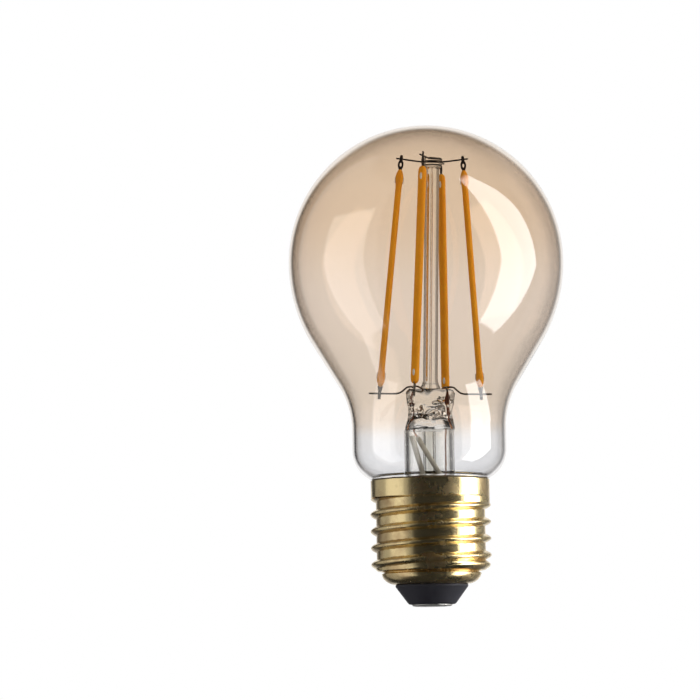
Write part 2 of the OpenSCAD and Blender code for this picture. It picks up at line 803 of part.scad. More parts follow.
screw_shell();
cap_insulator();
centre_contact();
basing_cement();
glass_envelope();
flare_tube();
press_seal();
exhaust_tube();
centre_post();
post_button();
seal_wire_left();
seal_wire_right();
inner_lead_left();
inner_lead_right();
branch_wire_front();
branch_wire_back();
support_wire_side();
support_wire_cross();
outer_lead_left();
outer_lead_right();
lead_sleeve_left();
lead_sleeve_right();
antenna_wire();
antenna_sleeve();
for (i = [0:3]) {
  filament_coating(i);
  filament_strip(i);
  filament_chips(i);
  filament_top_tab(i);
  filament_foot_tab(i);
}
driver_board();
bridge_rectifier();
smoothing_capacitor();
choke_core();
choke_winding();
driver_chip();
fuse_resistor();
wireless_board();
wireless_chip();
chip_components();
board_solder();
live_wire();
neutral_wire();
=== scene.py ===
"""Looks of a screw-in filament bulb with an amber-tinted glass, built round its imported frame.

Lengths are millimetres, as a lamp maker writes them, and turn into metres when a mesh is made.
Heights are measured from the contact face, and the front of the bulb faces -Y.
"""

from __future__ import annotations

import logging
import math
from dataclasses import dataclass, field
from enum import Enum
from typing import Iterable, Sequence

import bpy
import numpy as np
from mathutils import Matrix, Vector, noise


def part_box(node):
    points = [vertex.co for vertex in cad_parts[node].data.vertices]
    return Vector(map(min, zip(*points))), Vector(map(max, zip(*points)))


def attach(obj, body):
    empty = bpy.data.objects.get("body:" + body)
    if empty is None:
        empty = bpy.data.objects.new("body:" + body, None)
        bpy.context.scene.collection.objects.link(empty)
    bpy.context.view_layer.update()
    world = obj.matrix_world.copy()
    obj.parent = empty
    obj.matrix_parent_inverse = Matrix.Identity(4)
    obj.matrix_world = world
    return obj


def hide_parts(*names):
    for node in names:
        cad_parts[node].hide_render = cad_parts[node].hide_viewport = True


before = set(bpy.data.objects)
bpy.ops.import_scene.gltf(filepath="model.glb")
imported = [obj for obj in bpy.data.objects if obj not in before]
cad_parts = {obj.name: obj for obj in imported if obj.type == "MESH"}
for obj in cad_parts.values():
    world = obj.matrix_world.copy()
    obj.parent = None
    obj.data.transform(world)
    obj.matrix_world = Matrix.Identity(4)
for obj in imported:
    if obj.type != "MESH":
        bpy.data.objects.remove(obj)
LOG = logging.getLogger("bulb")
MM = 0.001
ROOT = "root"

Colour = tuple[float, float, float]
Point = tuple[float, float, float]
Outline = list[tuple[float, float]]


# ---------------------------------------------------------------- frame


def box_mm(node: str) -> tuple[Vector, Vector]:
    """The lowest and highest corner of a CAD node, in millimetres."""
    low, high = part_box(node)
    return low / MM, high / MM


# ---------------------------------------------------------------- node arithmetic


class Field:
    """A number that varies over a surface, with arithmetic that lays Math nodes."""

    def __init__(self, tree: bpy.types.NodeTree, source: bpy.types.NodeSocket) -> None:
        """Wraps a socket.

        Args:
            tree: the node tree that the socket belongs to.
            source: the output socket that gives the number.
        """
        self.tree = tree
        self.source = source

    def lay(self, operation: str, *values: Field | float) -> Field:
        """Lays one Math node.

        Args:
            operation: the Math node's operation.
            values: what goes into it, in order.

        Returns:
            The node's result.
        """
        node = self.tree.nodes.new("ShaderNodeMath")
        node.operation = operation
        for index, value in enumerate(values):
            if isinstance(value, Field):
                self.tree.links.new(value.source, node.inputs[index])
            else:
                node.inputs[index].default_value = value
        return Field(self.tree, node.outputs[0])

    def __add__(self, other: Field | float) -> Field:
        """Adds."""
        return self.lay("ADD", self, other)

    def __sub__(self, other: Field | float) -> Field:
        """Subtracts."""
        return self.lay("SUBTRACT", self, other)

    def __rsub__(self, other: float) -> Field:
        """Subtracts this from a plain number."""
        return self.lay("SUBTRACT", other, self)

    def __mul__(self, other: Field | float) -> Field:
        """Multiplies."""
        return self.lay("MULTIPLY", self, other)

    def __truediv__(self, other: Field | float) -> Field:
        """Divides."""
        return self.lay("DIVIDE", self, other)

    def cosine(self) -> Field:
        """The cosine, of an angle in radians."""
        return self.lay("COSINE", self)

    def magnitude(self) -> Field:
        """The number without its sign."""
        return self.lay("ABSOLUTE", self)

    def rounded(self) -> Field:
        """The nearest whole number."""
        return self.lay("ROUND", self)

    def below(self, limit: Field | float) -> Field:
        """One where the number is under the limit, and zero elsewhere."""
        return self.lay("LESS_THAN", self, limit)

    def largest(self, other: Field | float) -> Field:
        """The larger of the two."""
        return self.lay("MAXIMUM", self, other)

    def rise(self, low: float, high: float) -> Field:
        """Climbs smoothly from 0 at low to 1 at high.

        Args:
            low: where the climb starts.
            high: where it ends.

        Returns:
            The climb.
        """
        node = self.tree.nodes.new("ShaderNodeMapRange")
        node.interpolation_type = "SMOOTHSTEP"
        self.tree.links.new(self.source, node.inputs["Value"])
        node.inputs["From Min"].default_value = low
        node.inputs["From Max"].default_value = high
        return Field(self.tree, node.outputs["Result"])

    def window(self, low: float, high: float, soft: float) -> Field:
        """One between two limits, with soft edges.

        Args:
            low: the lower limit.
            high: the upper limit.
            soft: half the width of each edge.

        Returns:
            The window.
        """
        return self.beyond(low, soft) * self.short_of(high, soft)

    def beyond(self, limit: float, soft: float) -> Field:
        """One above a limit, with a soft edge that reaches as far to both sides."""
        return self.rise(limit - soft, limit + soft)

    def short_of(self, limit: float, soft: float) -> Field:
        """One below a limit, with a soft edge that reaches as far to both sides."""
        return 1.0 - self.beyond(limit, soft)


# ---------------------------------------------------------------- shader groups


class GroupTree:
    """A shader node group being laid out, with named inputs and outputs."""

    def __init__(self, name: str, inputs: dict[str, object], outputs: dict[str, str]) -> None:
        """Makes an empty group.

        Args:
            name: the group's name.
            inputs: each input's name and its default value, or None for a vector.
            outputs: each output's name and its socket type.
        """
        self.tree = bpy.data.node_groups.new(name, "ShaderNodeTree")
        for label, default in inputs.items():
            kind = "NodeSocketFloat" if isinstance(default, float) else (
                "NodeSocketVector" if default is None else "NodeSocketColor"
            )
            socket = self.tree.interface.new_socket(label, in_out="INPUT", socket_type=kind)
            if default is not None:
                socket.default_value = default
        for label, kind in outputs.items():
            self.tree.interface.new_socket(label, in_out="OUTPUT", socket_type=kind)
        self.inlet = self.tree.nodes.new("NodeGroupInput")
        self.outlet = self.tree.nodes.new("NodeGroupOutput")

    def add(self, kind: str, **links: object) -> bpy.types.Node:
        """Adds a node and fills its inputs.

        Args:
            kind: the node's type.
            links: an input's name, with a socket or a plain value for it.

        Returns:
            The new node.
        """
        return add_node(self.tree, kind, **links)


def add_node(tree: bpy.types.NodeTree, kind: str, **links: object) -> bpy.types.Node:
    """Adds a node to a tree and fills its inputs.

    Args:
        tree: the tree.
        kind: the node's type.
        links: an input's name with underscores for spaces, and a socket or a value for it.

    Returns:
        The new node.
    """
    node = tree.nodes.new(kind)
    for label, value in links.items():
        socket = node.inputs[label.replace("_", " ")]
        if isinstance(value, bpy.types.NodeSocket):
            tree.links.new(value, socket)
        else:
            socket.default_value = value
    return node


class EffectLibrary:
    """The effects that several finishes share, each built once."""

    def __init__(self) -> None:
        """Builds the groups."""
        self.mottle = self._mottle()
        self.relief = self._relief()
        # outline is the glass's painted edge shade: glass darkened where it is seen edge on.
        self.outline = self._edge_shade()

    @staticmethod
    def _mottle() -> bpy.types.NodeTree:
        """Uneven patches, as of tarnish or of an uneven coating: a mask."""
        group = GroupTree(
            "uneven_patches",
            {"Vector": None, "Scale": 100.0, "Low": 0.35, "High": 0.7},
            {"Mask": "NodeSocketFloat"},
        )
        patches = group.add(
            "ShaderNodeTexNoise",
            Vector=group.inlet.outputs["Vector"],
            Scale=group.inlet.outputs["Scale"],
            Detail=5.0,
            Roughness=0.6,
        )
        sharpened = group.add(
            "ShaderNodeMapRange",
            Value=patches.outputs[0],
            From_Min=group.inlet.outputs["Low"],
            From_Max=group.inlet.outputs["High"],
        )
        group.tree.links.new(sharpened.outputs[0], group.outlet.inputs["Mask"])
        return group.tree

    @staticmethod
    def _relief() -> bpy.types.NodeTree:
        """Fine relief, as of drawn metal, cast glass or woven fibre: a normal."""
        group = GroupTree(
            "fine_relief",
            {"Vector": None, "Scale": 800.0, "Depth": 0.2},
            {"Normal": "NodeSocketVector"},
        )
        grain = group.add(
            "ShaderNodeTexNoise",
            Vector=group.inlet.outputs["Vector"],
            Scale=group.inlet.outputs["Scale"],
            Detail=3.0,
        )
        bump = group.add(
            "ShaderNodeBump",
            Strength=group.inlet.outputs["Depth"],
            Distance=0.0002,
            Height=grain.outputs[0],
        )
        group.tree.links.new(bump.outputs[0], group.outlet.inputs["Normal"])
        return group.tree

    @staticmethod
    def _edge_shade() -> bpy.types.NodeTree:
        """Painted shade: the darker colour that glass is given where it is seen edge on, standing in
        for the dark edges that refraction and reflection bring.
        """
        group = GroupTree(
            "glass_edge_shade",
            {"Facing": 0.0, "Start": 0.6, "Core": (1, 1, 1, 1), "Edge": (0, 0, 0, 1)},
            {"Color": "NodeSocketColor"},
        )
        share = group.add(
            "ShaderNodeMapRange",
            Value=group.inlet.outputs["Facing"],
            From_Min=group.inlet.outputs["Start"],
        )
        share.interpolation_type = "SMOOTHSTEP"
        mix = group.tree.nodes.new("ShaderNodeMix")
        mix.data_type = "RGBA"
        group.tree.links.new(share.outputs[0], mix.inputs[0])
        group.tree.links.new(group.inlet.outputs["Core"], mix.inputs[6])
        group.tree.links.new(group.inlet.outputs["Edge"], mix.inputs[7])
        group.tree.links.new(mix.outputs[2], group.outlet.inputs["Color"])
        return group.tree


EFFECTS = EffectLibrary()


class MaterialSheet:
    """A material being laid out round its Principled BSDF."""

    def __init__(self, name: str) -> None:
        """Makes the material with plain nodes."""
        self.material = bpy.data.materials.new(name)
        self.material.use_nodes = True
        self.tree = self.material.node_tree
        self.shader = self.tree.nodes["Principled BSDF"]

    def set(self, **values: object) -> None:
        """Sets values on the Principled BSDF's own sockets, or links into them.

        Args:
            values: a socket's name with underscores for spaces, and its value or source.
        """
        for label, value in values.items():
            socket = self.shader.inputs[label.replace("_", " ")]
            if isinstance(value, bpy.types.NodeSocket):
                self.tree.links.new(value, socket)
            else:
                socket.default_value = value

    def coordinates(self, stretch: Point = (1.0, 1.0, 1.0)) -> bpy.types.NodeSocket:
        """Object coordinates, stretched along the axes.

        Args:
            stretch: how much finer the pattern is along each axis.

        Returns:
            The coordinates.
        """
        place = self.tree.nodes.new("ShaderNodeTexCoord")
        mapping = add_node(self.tree, "ShaderNodeMapping", Vector=place.outputs["Object"])
        mapping.inputs["Scale"].default_value = stretch
        return mapping.outputs[0]

    def effect(self, group: bpy.types.NodeTree, **values: object) -> bpy.types.NodeSocket:
        """Places a shared effect.

        Args:
            group: the effect's node group.
            values: its inputs.

        Returns:
            The effect's result.
        """
        node = self.tree.nodes.new("ShaderNodeGroup")
        node.node_tree = group
        for label, value in values.items():
            socket = node.inputs[label.replace("_", " ")]
            if isinstance(value, bpy.types.NodeSocket):
                self.tree.links.new(value, socket)
            else:
                socket.default_value = value
        return node.outputs[0]

    def blend(self, share: bpy.types.NodeSocket, low: Colour, high: Colour) -> bpy.types.NodeSocket:
        """Mixes two colours.

        Args:
            share: how much of the second colour.
            low: the first colour.
            high: the second colour.

        Returns:
            The mixed colour.
        """
        mix = self.tree.nodes.new("ShaderNodeMix")
        mix.data_type = "RGBA"
        self.tree.links.new(share, mix.inputs[0])
        mix.inputs[6].default_value = (*low, 1.0)
        mix.inputs[7].default_value = (*high, 1.0)
        return mix.outputs[2]

    def spread(self, share: bpy.types.NodeSocket, low: float, high: float) -> bpy.types.NodeSocket:
        """Turns a mask into a number between low and high.

        Args:
            share: the mask.
            low: the number where the mask is 0.
            high: the number where it is 1.

        Returns:
            The number.
        """
        node = add_node(self.tree, "ShaderNodeMapRange", Value=share, To_Min=low, To_Max=high)
        return node.outputs[0]


# ---------------------------------------------------------------- finishes


class Slot(Enum):
    """The record's material slots."""

    AMBER_GLASS = "amber_glass"
    CLEAR_GLASS = "clear_glass"
    CAP_BRASS = "cap_brass"
    CONTACT = "contact_nickel"
    INSULATOR = "insulator_black"
    CEMENT = "basing_cement"
    SEAL_WIRE = "seal_wire"
    LEAD = "lead_nickel"
    SUPPORT = "support_wire"
    COPPER = "copper_wire"
    SLEEVE = "sleeve_fibre"
    PHOSPHOR = "phosphor_amber"
    STRIP = "strip_ceramic"
    LED_DIE = "led_die"
    TAB = "tab_metal"
    BOARD = "board_laminate"
    WIRELESS = "wireless_laminate"
    EPOXY = "black_epoxy"
    CAPACITOR = "capacitor_sleeve"
    FERRITE = "ferrite_grey"
    WINDING = "winding_copper"
    RESISTOR = "resistor_lacquer"
    SHIELD = "shield_steel"
    CHIP = "chip_ceramic"
    SOLDER = "solder_tin"
    LIVE = "live_insulation"


@dataclass(frozen=True)
class TintedGlassFinish:
    """Clear glass with an amber lacquer that fades out down the neck, and painted shade at its edges:
    darker brown where it is seen edge on, partly for the longer path through the lacquer, partly
    standing in for the dark edges that refraction and reflection bring.
    """

    stops: tuple[tuple[float, Colour], ...] = (
        (31.0, (0.935, 0.935, 0.945)),
        (36.5, (0.950, 0.940, 0.938)),
        (40.5, (0.928, 0.855, 0.785)),
        (45.0, (0.908, 0.828, 0.745)),
        (66.0, (0.923, 0.836, 0.757)),
        (88.0, (0.898, 0.770, 0.640)),
        (98.0, (0.910, 0.785, 0.655)),
        (105.0, (0.930, 0.805, 0.680)),
    )
    # The edge colour, and the share of it mixed into the tint, are painted shade for glass seen edge
    # on.
    edge: Colour = (0.28, 0.20, 0.14)
    edge_shade_share: float = 0.75
    ior: float = 1.5
    waviness: float = 0.01

    def build(self, name: str) -> bpy.types.Material:
        """Lays out the material.

        Args:
            name: the material's name.

        Returns:
            The material.
        """
        sheet = MaterialSheet(name)
        place = sheet.tree.nodes.new("ShaderNodeTexCoord")
        height = add_node(sheet.tree, "ShaderNodeSeparateXYZ", Vector=place.outputs["Object"])
        low, high = self.stops[0][0], self.stops[-1][0]
        share = add_node(
            sheet.tree,
            "ShaderNodeMapRange",
            Value=height.outputs["Z"],
            From_Min=low * MM,
            From_Max=high * MM,
        )
        ramp = add_node(sheet.tree, "ShaderNodeValToRGB", Fac=share.outputs[0])
        ramp.color_ramp.interpolation = "EASE"
        elements = ramp.color_ramp.elements
        for index, (z, colour) in enumerate(self.stops):
            position = (z - low) / (high - low)
            stop = elements[index] if index < 2 else elements.new(position)
            stop.position = position
            stop.color = (*colour, 1.0)
        # Painted shade: the tint darkens towards the edge colour where the glass is seen edge on.
        facing = add_node(sheet.tree, "ShaderNodeLayerWeight", Blend=0.5)
        edge_shade_colour = sheet.tree.nodes.new("ShaderNodeMix")
        edge_shade_colour.data_type = "RGBA"
        edge_shade_colour.inputs[0].default_value = self.edge_shade_share
        sheet.tree.links.new(ramp.outputs[0], edge_shade_colour.inputs[6])
        edge_shade_colour.inputs[7].default_value = (*self.edge, 1.0)
        colour = sheet.effect(
            EFFECTS.outline,
            Facing=facing.outputs["Facing"],
            Start=0.55,
            Core=ramp.outputs[0],
            Edge=edge_shade_colour.outputs[2],
        )
        waves = sheet.effect(
            EFFECTS.relief, Vector=sheet.coordinates(), Scale=40.0, Depth=self.waviness
        )
        sheet.set(
            Base_Color=colour,
            Roughness=0.0,
            IOR=self.ior,
            Transmission_Weight=1.0,
            Normal=waves,
        )
        return sheet.material


@dataclass(frozen=True)
class StemGlassFinish:
    """Clear tube glass, with painted shade: darker where it is seen edge on, standing in for the dark
    edges that refraction brings.
    """

    core: Colour = (0.96, 0.955, 0.93)
    # The edge colour, from where facing passes start, is painted shade for glass seen edge on.
    edge: Colour = (0.06, 0.045, 0.02)
    start: float = 0.45
    ior: float = 1.52
    relief_scale: float = 300.0
    relief_depth: float = 0.05

    def build(self, name: str) -> bpy.types.Material:
        """Lays out the material.

        Args:
            name: the material's name.

        Returns:
            The material.
        """
        sheet = MaterialSheet(name)
        facing = add_node(sheet.tree, "ShaderNodeLayerWeight", Blend=0.5)
        colour = sheet.effect(
            EFFECTS.outline,
            Facing=facing.outputs["Facing"],
            Start=self.start,
            Core=(*self.core, 1.0),
            Edge=(*self.edge, 1.0),
        )
        cast = sheet.effect(
            EFFECTS.relief,
            Vector=sheet.coordinates(),
            Scale=self.relief_scale,
            Depth=self.relief_depth,
        )
        sheet.set(
            Base_Color=colour, Roughness=0.0, IOR=self.ior, Transmission_Weight=1.0, Normal=cast
        )
        return sheet.material


@dataclass(frozen=True)
class SolidFinish:
    """An opaque finish: metal, plastic, ceramic, lacquer or fibre."""

    colour: Colour
    shade: Colour
    metallic: float = 0.0
    roughness: tuple[float, float] = (0.3, 0.5)
    patch_scale: float = 180.0
    patch_range: tuple[float, float] = (0.4, 0.7)
    grain_scale: float = 900.0
    grain_depth: float = 0.15
    stretch: Point = (1.0, 1.0, 1.0)
    coat: float = 0.0
    soft: float = 0.0
    gloss: float = 0.5

    def build(self, name: str) -> bpy.types.Material:
        """Lays out the material.

        Args:
            name: the material's name.

        Returns:
            The material.
        """
        sheet = MaterialSheet(name)
        patches = sheet.effect(
            EFFECTS.mottle,
            Vector=sheet.coordinates(),
            Scale=self.patch_scale,
            Low=self.patch_range[0],
            High=self.patch_range[1],
        )
        grain = sheet.effect(
            EFFECTS.relief,
            Vector=sheet.coordinates(self.stretch),
            Scale=self.grain_scale,
            Depth=self.grain_depth,
        )
        sheet.set(
            Base_Color=sheet.blend(patches, self.colour, self.shade),
            Metallic=self.metallic,
            Roughness=sheet.spread(patches, *self.roughness),
            Coat_Weight=self.coat,
            Specular_IOR_Level=self.gloss,
            Normal=grain,
        )
        if self.soft:
            sheet.set(Subsurface_Weight=self.soft, Subsurface_Scale=0.0006)
        return sheet.material


FINISHES: dict[Slot, TintedGlassFinish | StemGlassFinish | SolidFinish] = {
    Slot.AMBER_GLASS: TintedGlassFinish(),
    Slot.CLEAR_GLASS: StemGlassFinish(),
    Slot.CAP_BRASS: SolidFinish(
        (0.80, 0.64, 0.34), (0.42, 0.27, 0.14), 1.0, (0.22, 0.42), 170.0, (0.46, 0.76),
        600.0, 0.14, (1.0, 1.0, 0.06),
    ),
    Slot.CONTACT: SolidFinish((0.72, 0.71, 0.69), (0.5, 0.48, 0.45), 1.0, (0.45, 0.55)),
    Slot.INSULATOR: SolidFinish(
        (0.040, 0.039, 0.050), (0.048, 0.047, 0.058), 0.0, (0.5, 0.62), 300.0,
        grain_scale=1200.0, grain_depth=0.12, gloss=0.25,
    ),
    Slot.CEMENT: SolidFinish(
        (0.16, 0.11, 0.05), (0.05, 0.035, 0.02), 0.0, (0.6, 0.9), 500.0, (0.3, 0.7), 900.0, 0.8
    ),
    Slot.SEAL_WIRE: SolidFinish((0.24, 0.08, 0.04), (0.12, 0.04, 0.02), 0.6, (0.35, 0.5)),
    Slot.LEAD: SolidFinish((0.30, 0.27, 0.23), (0.12, 0.10, 0.08), 1.0, (0.25, 0.45), 500.0),
    Slot.SUPPORT: SolidFinish((0.09, 0.07, 0.06), (0.03, 0.025, 0.02), 0.8, (0.3, 0.5), 500.0),
    Slot.COPPER: SolidFinish((0.60, 0.30, 0.16), (0.30, 0.14, 0.08), 1.0, (0.25, 0.45)),
    Slot.SLEEVE: SolidFinish(
        (0.72, 0.66, 0.54), (0.52, 0.46, 0.36), 0.0, (0.7, 0.9), 700.0, (0.3, 0.7), 2600.0, 0.7,
        (1.0, 1.0, 0.5),
    ),
    Slot.PHOSPHOR: SolidFinish(
        (0.92, 0.385, 0.010), (0.84, 0.32, 0.008), 0.0, (0.45, 0.6), 260.0, (0.35, 0.75), 700.0,
        0.12, soft=0.15, gloss=0.2,
    ),
    Slot.STRIP: SolidFinish((0.82, 0.80, 0.74), (0.7, 0.68, 0.6)),
    Slot.LED_DIE: SolidFinish((0.20, 0.36, 0.52), (0.12, 0.25, 0.4), 0.2, (0.1, 0.2), coat=0.5),
    Slot.TAB: SolidFinish((0.48, 0.50, 0.49), (0.25, 0.26, 0.25), 1.0, (0.25, 0.45), 500.0),
    Slot.BOARD: SolidFinish((0.025, 0.13, 0.04), (0.02, 0.09, 0.03), 0.0, (0.3, 0.45)),
    Slot.WIRELESS: SolidFinish((0.01, 0.05, 0.16), (0.01, 0.04, 0.11), 0.0, (0.3, 0.45)),
    Slot.EPOXY: SolidFinish((0.02, 0.02, 0.022), (0.035, 0.035, 0.037), 0.0, (0.5, 0.7)),
    Slot.CAPACITOR: SolidFinish((0.02, 0.022, 0.045), (0.03, 0.03, 0.06), 0.0, (0.3, 0.4)),
    Slot.FERRITE: SolidFinish((0.05, 0.05, 0.052), (0.08, 0.08, 0.08), 0.0, (0.55, 0.75)),
    Slot.WINDING: SolidFinish(
        (0.50, 0.16, 0.05), (0.35, 0.10, 0.03), 0.9, (0.2, 0.35), 300.0, (0.4, 0.7), 900.0, 0.5,
        (0.05, 0.05, 1.0), 0.4,
    ),
    Slot.RESISTOR: SolidFinish((0.06, 0.22, 0.16), (0.04, 0.16, 0.12), 0.0, (0.25, 0.35)),
    Slot.SHIELD: SolidFinish((0.55, 0.56, 0.57), (0.4, 0.41, 0.42), 1.0, (0.25, 0.4)),
    Slot.CHIP: SolidFinish((0.45, 0.33, 0.18), (0.35, 0.25, 0.13), 0.0, (0.35, 0.5)),
    Slot.SOLDER: SolidFinish((0.6, 0.6, 0.6), (0.4, 0.4, 0.4), 1.0, (0.2, 0.4)),
    Slot.LIVE: SolidFinish((0.35, 0.03, 0.02), (0.25, 0.02, 0.015), 0.0, (0.3, 0.45)),
}


class Palette:
    """Gives each slot its one material, and makes it when it is first asked for."""

    def __init__(self) -> None:
        """Starts with no materials."""
        self.made: dict[Slot, bpy.types.Material] = {}

    def material(self, slot: Slot) -> bpy.types.Material:
        """The slot's material.

        Args:
            slot: the material slot.

        Returns:
            Its material.
        """
        if slot not in self.made:
            self.made[slot] = FINISHES[slot].build(slot.value)
        return self.made[slot]


PALETTE = Palette()


# ---------------------------------------------------------------- meshes


def arc(centre: tuple[float, float], radius: float, start: float, end: float, steps: int) -> Outline:
    """Points of an arc in a half plane.

    Args:
        centre: the arc's centre, as distance from the axis and height.
        radius: its radius.
        start: its first angle in degrees.
        end: its last angle in degrees.
        steps: how many parts it is cut into.

    Returns:
        The points, both ends included.
    """
    angles = np.radians(np.linspace(start, end, steps + 1))
    return [(centre[0] + radius * math.cos(a), centre[1] + radius * math.sin(a)) for a in angles]


def eased(points: Sequence[Sequence[float]], radius: float, steps: int = 4) -> Outline:
    """Rounds the inner corners of an outline, and holds its long straights straight.

    A straight gets one more point near each rounding, so that smooth shading stays flat on it.

    Args:
        points: the outline's corners.
        radius: how far from a corner the rounding starts.
        steps: how many parts each rounding is cut into.

    Returns:
        The rounded outline.
    """
    hold, long_enough = 0.4 * radius, 4 * radius
    result: list[tuple[float, ...]] = [tuple(points[0])]
    for before, corner, after in zip(points, points[1:], points[2:]):
        b, c, a = (np.array(p, float) for p in (before, corner, after))
        long_in, long_out = np.linalg.norm(c - b), np.linalg.norm(a - c)
        start = c + (b - c) / long_in * min(radius, long_in / 2.01)
        end = c + (a - c) / long_out * min(radius, long_out / 2.01)
        if long_in > long_enough:
            result.append(tuple(start + (b - c) / long_in * hold))
        for t in np.linspace(0, 1, steps + 1):
            result.append(tuple((1 - t) ** 2 * start + 2 * t * (1 - t) * c + t * t * end))
        if long_out > long_enough:
            result.append(tuple(end + (a - c) / long_out * hold))
    result.append(tuple(points[-1]))
    return result


def smooth_path(points: Sequence[Point], per_span: int = 6) -> np.ndarray:
    """A smooth line through all the points.

    Args:
        points: what the line goes through.
        per_span: how many parts each span is cut into.

    Returns:
        The line's points.
    """
    p = [np.array(q, float) for q in points]
    p = [2 * p[0] - p[1], *p, 2 * p[-1] - p[-2]]
    line = []
    for a, b, c, d in zip(p, p[1:], p[2:], p[3:]):
        for t in np.arange(per_span) / per_span:
            line.append(
                0.5 * (2 * b + (c - a) * t + (2 * a - 5 * b + 4 * c - d) * t**2
                       + (3 * b - a - 3 * c + d) * t**3)
            )
    line.append(p[-2])
    return np.array(line)


def mesh_object(name: str, points: np.ndarray, faces: list, edges: list = ()) -> bpy.types.Object:
    """Makes an object from points in millimetres, with its faces pointing outwards.

    Args:
        name: the object's name.
        points: the mesh's points.
        faces: its faces.
        edges: its loose edges.

    Returns:
        The object, which sits at the origin.
    """
    mesh = bpy.data.meshes.new(name)
    if len(faces) and enclosed_volume(points, faces) < 0:
        faces = [tuple(reversed(f)) for f in faces]
    mesh.from_pydata((np.asarray(points) * MM).tolist(), list(edges), faces)
    mesh.update()
    shade(mesh)
    piece = bpy.data.objects.new(name, mesh)
    bpy.context.scene.collection.objects.link(piece)
    return piece


def shade(mesh: bpy.types.Mesh, corner: float = 38.0) -> None:
    """Shades a mesh smooth, but for edges that turn by more than a corner's angle in degrees."""
    mesh.shade_smooth()
    mesh.set_sharp_from_angle(angle=math.radians(corner))


def enclosed_volume(points: np.ndarray, faces: list) -> float:
    """The volume that the faces enclose, negative if they point inwards."""
    p = np.asarray(points, float)
    total = 0.0
    for size in (3, 4):
        index = np.array([f for f in faces if len(f) == size])
        if len(index):
            a, b, c = p[index[:, 0]], p[index[:, 1]], p[index[:, 2]]
            total += float(np.einsum("ij,ij->", a, np.cross(b, c)))
            if size == 4:
                d = p[index[:, 3]]
                total += float(np.einsum("ij,ij->", a, np.cross(c, d)))
    return total


def turned(name: str, outline: Sequence[Sequence[float]], segments: int = 96,
           looped: bool = False) -> bpy.types.Object:
    """Turns an outline about the Z axis, as on a lathe.

    Args:
        name: the object's name.
        outline: distances from the axis and heights; points on the axis become poles.
        segments: how many parts the full turn is cut into.
        looped: joins the outline's last point to its first.

    Returns:
        The turned object.
    """
    points: list[tuple[float, float, float]] = []
    rings: list[list[int]] = []
    angles = 2 * math.pi * np.arange(segments) / segments
    for radius, height in outline:
        first = len(points)
        if abs(radius) < 1e-6:
            points.append((0.0, 0.0, height))
            rings.append([first] * segments)
        else:
            points += [(radius * math.cos(a), radius * math.sin(a), height) for a in angles]
            rings.append(list(range(first, first + segments)))
    pairs = list(zip(rings, rings[1:])) + ([(rings[-1], rings[0])] if looped else [])
    return mesh_object(name, np.array(points), ring_faces(pairs))


def ring_faces(pairs: Iterable[tuple[list[int], list[int]]]) -> list[tuple[int, ...]]:
    """Faces between pairs of rings, with triangles where a ring is a pole."""
    faces = []
    for low, high in pairs:
        count = len(low)
        for i in range(count):
            j = (i + 1) % count
            corner = (low[i], low[j], high[j], high[i])
            unique = tuple(dict.fromkeys(corner))
            if len(unique) > 2:
                faces.append(unique)
    return faces


def lofted(name: str, rings: Sequence[np.ndarray]) -> bpy.types.Object:
    """A closed skin over rings of points, with a pole in the middle of each end.

    Args:
        name: the object's name.
        rings: the rings, all with the same number of points.

    Returns:
        The skinned object.
    """
    count = len(rings[0])
    points = np.concatenate([*rings, [rings[0].mean(0)], [rings[-1].mean(0)]])
    index = [list(range(i * count, (i + 1) * count)) for i in range(len(rings))]
    poles = [[len(rings) * count] * count, [len(rings) * count + 1] * count]
    chain = [poles[0], *index, poles[1]]
    return mesh_object(name, points, ring_faces(zip(chain, chain[1:])))


def merged(name: str, solids: Sequence[bpy.types.Object],
           hollows: Sequence[bpy.types.Object] = ()) -> bpy.types.Object:
    """One object out of several closed skins, with the hollow ones turned inside out.

    Args:
        name: the object's name.
        solids: the skins that stay as they are.
        hollows: the skins round an empty space.

    Returns:
        The one object; the skins are gone.
    """
    points: list[np.ndarray] = []
    faces: list[tuple[int, ...]] = []
    for part in hollows:
        part.data.flip_normals()
    for part in [*solids, *hollows]:
        first = len(points)
        points += [np.array(v.co) / MM for v in part.data.vertices]
        faces += [tuple(first + i for i in f.vertices) for f in part.data.polygons]
        bpy.data.objects.remove(part)
    return mesh_object(name, np.array(points), faces)


def hand_over(piece: bpy.types.Object, slot: Slot, *nodes: str) -> None:
    """Dresses a finished piece and puts it on the frame.

    Args:
        piece: the piece.
        slot: the finish that it takes.
        nodes: the CAD nodes that it stands for.
    """
    piece.data.materials.clear()
    piece.data.materials.append(PALETTE.material(slot))
    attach(piece, ROOT)
    if nodes:
        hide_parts(*nodes)
    LOG.info("%s: %d faces, %s", piece.name, len(piece.data.polygons), slot.value)


def redress(slot: Slot, *nodes: str) -> None:
    """Gives CAD nodes whose shape is right their finish.

    Args:
        slot: the finish.
        nodes: the CAD nodes.
    """
    for node in nodes:
        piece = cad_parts[node]
        if piece.material_slots:
            for place in piece.material_slots:
                place.material = PALETTE.material(slot)
        else:
            piece.data.materials.append(PALETTE.material(slot))
        LOG.info("%s: CAD shape, %s", node, slot.value)


# ---------------------------------------------------------------- Geometry Nodes


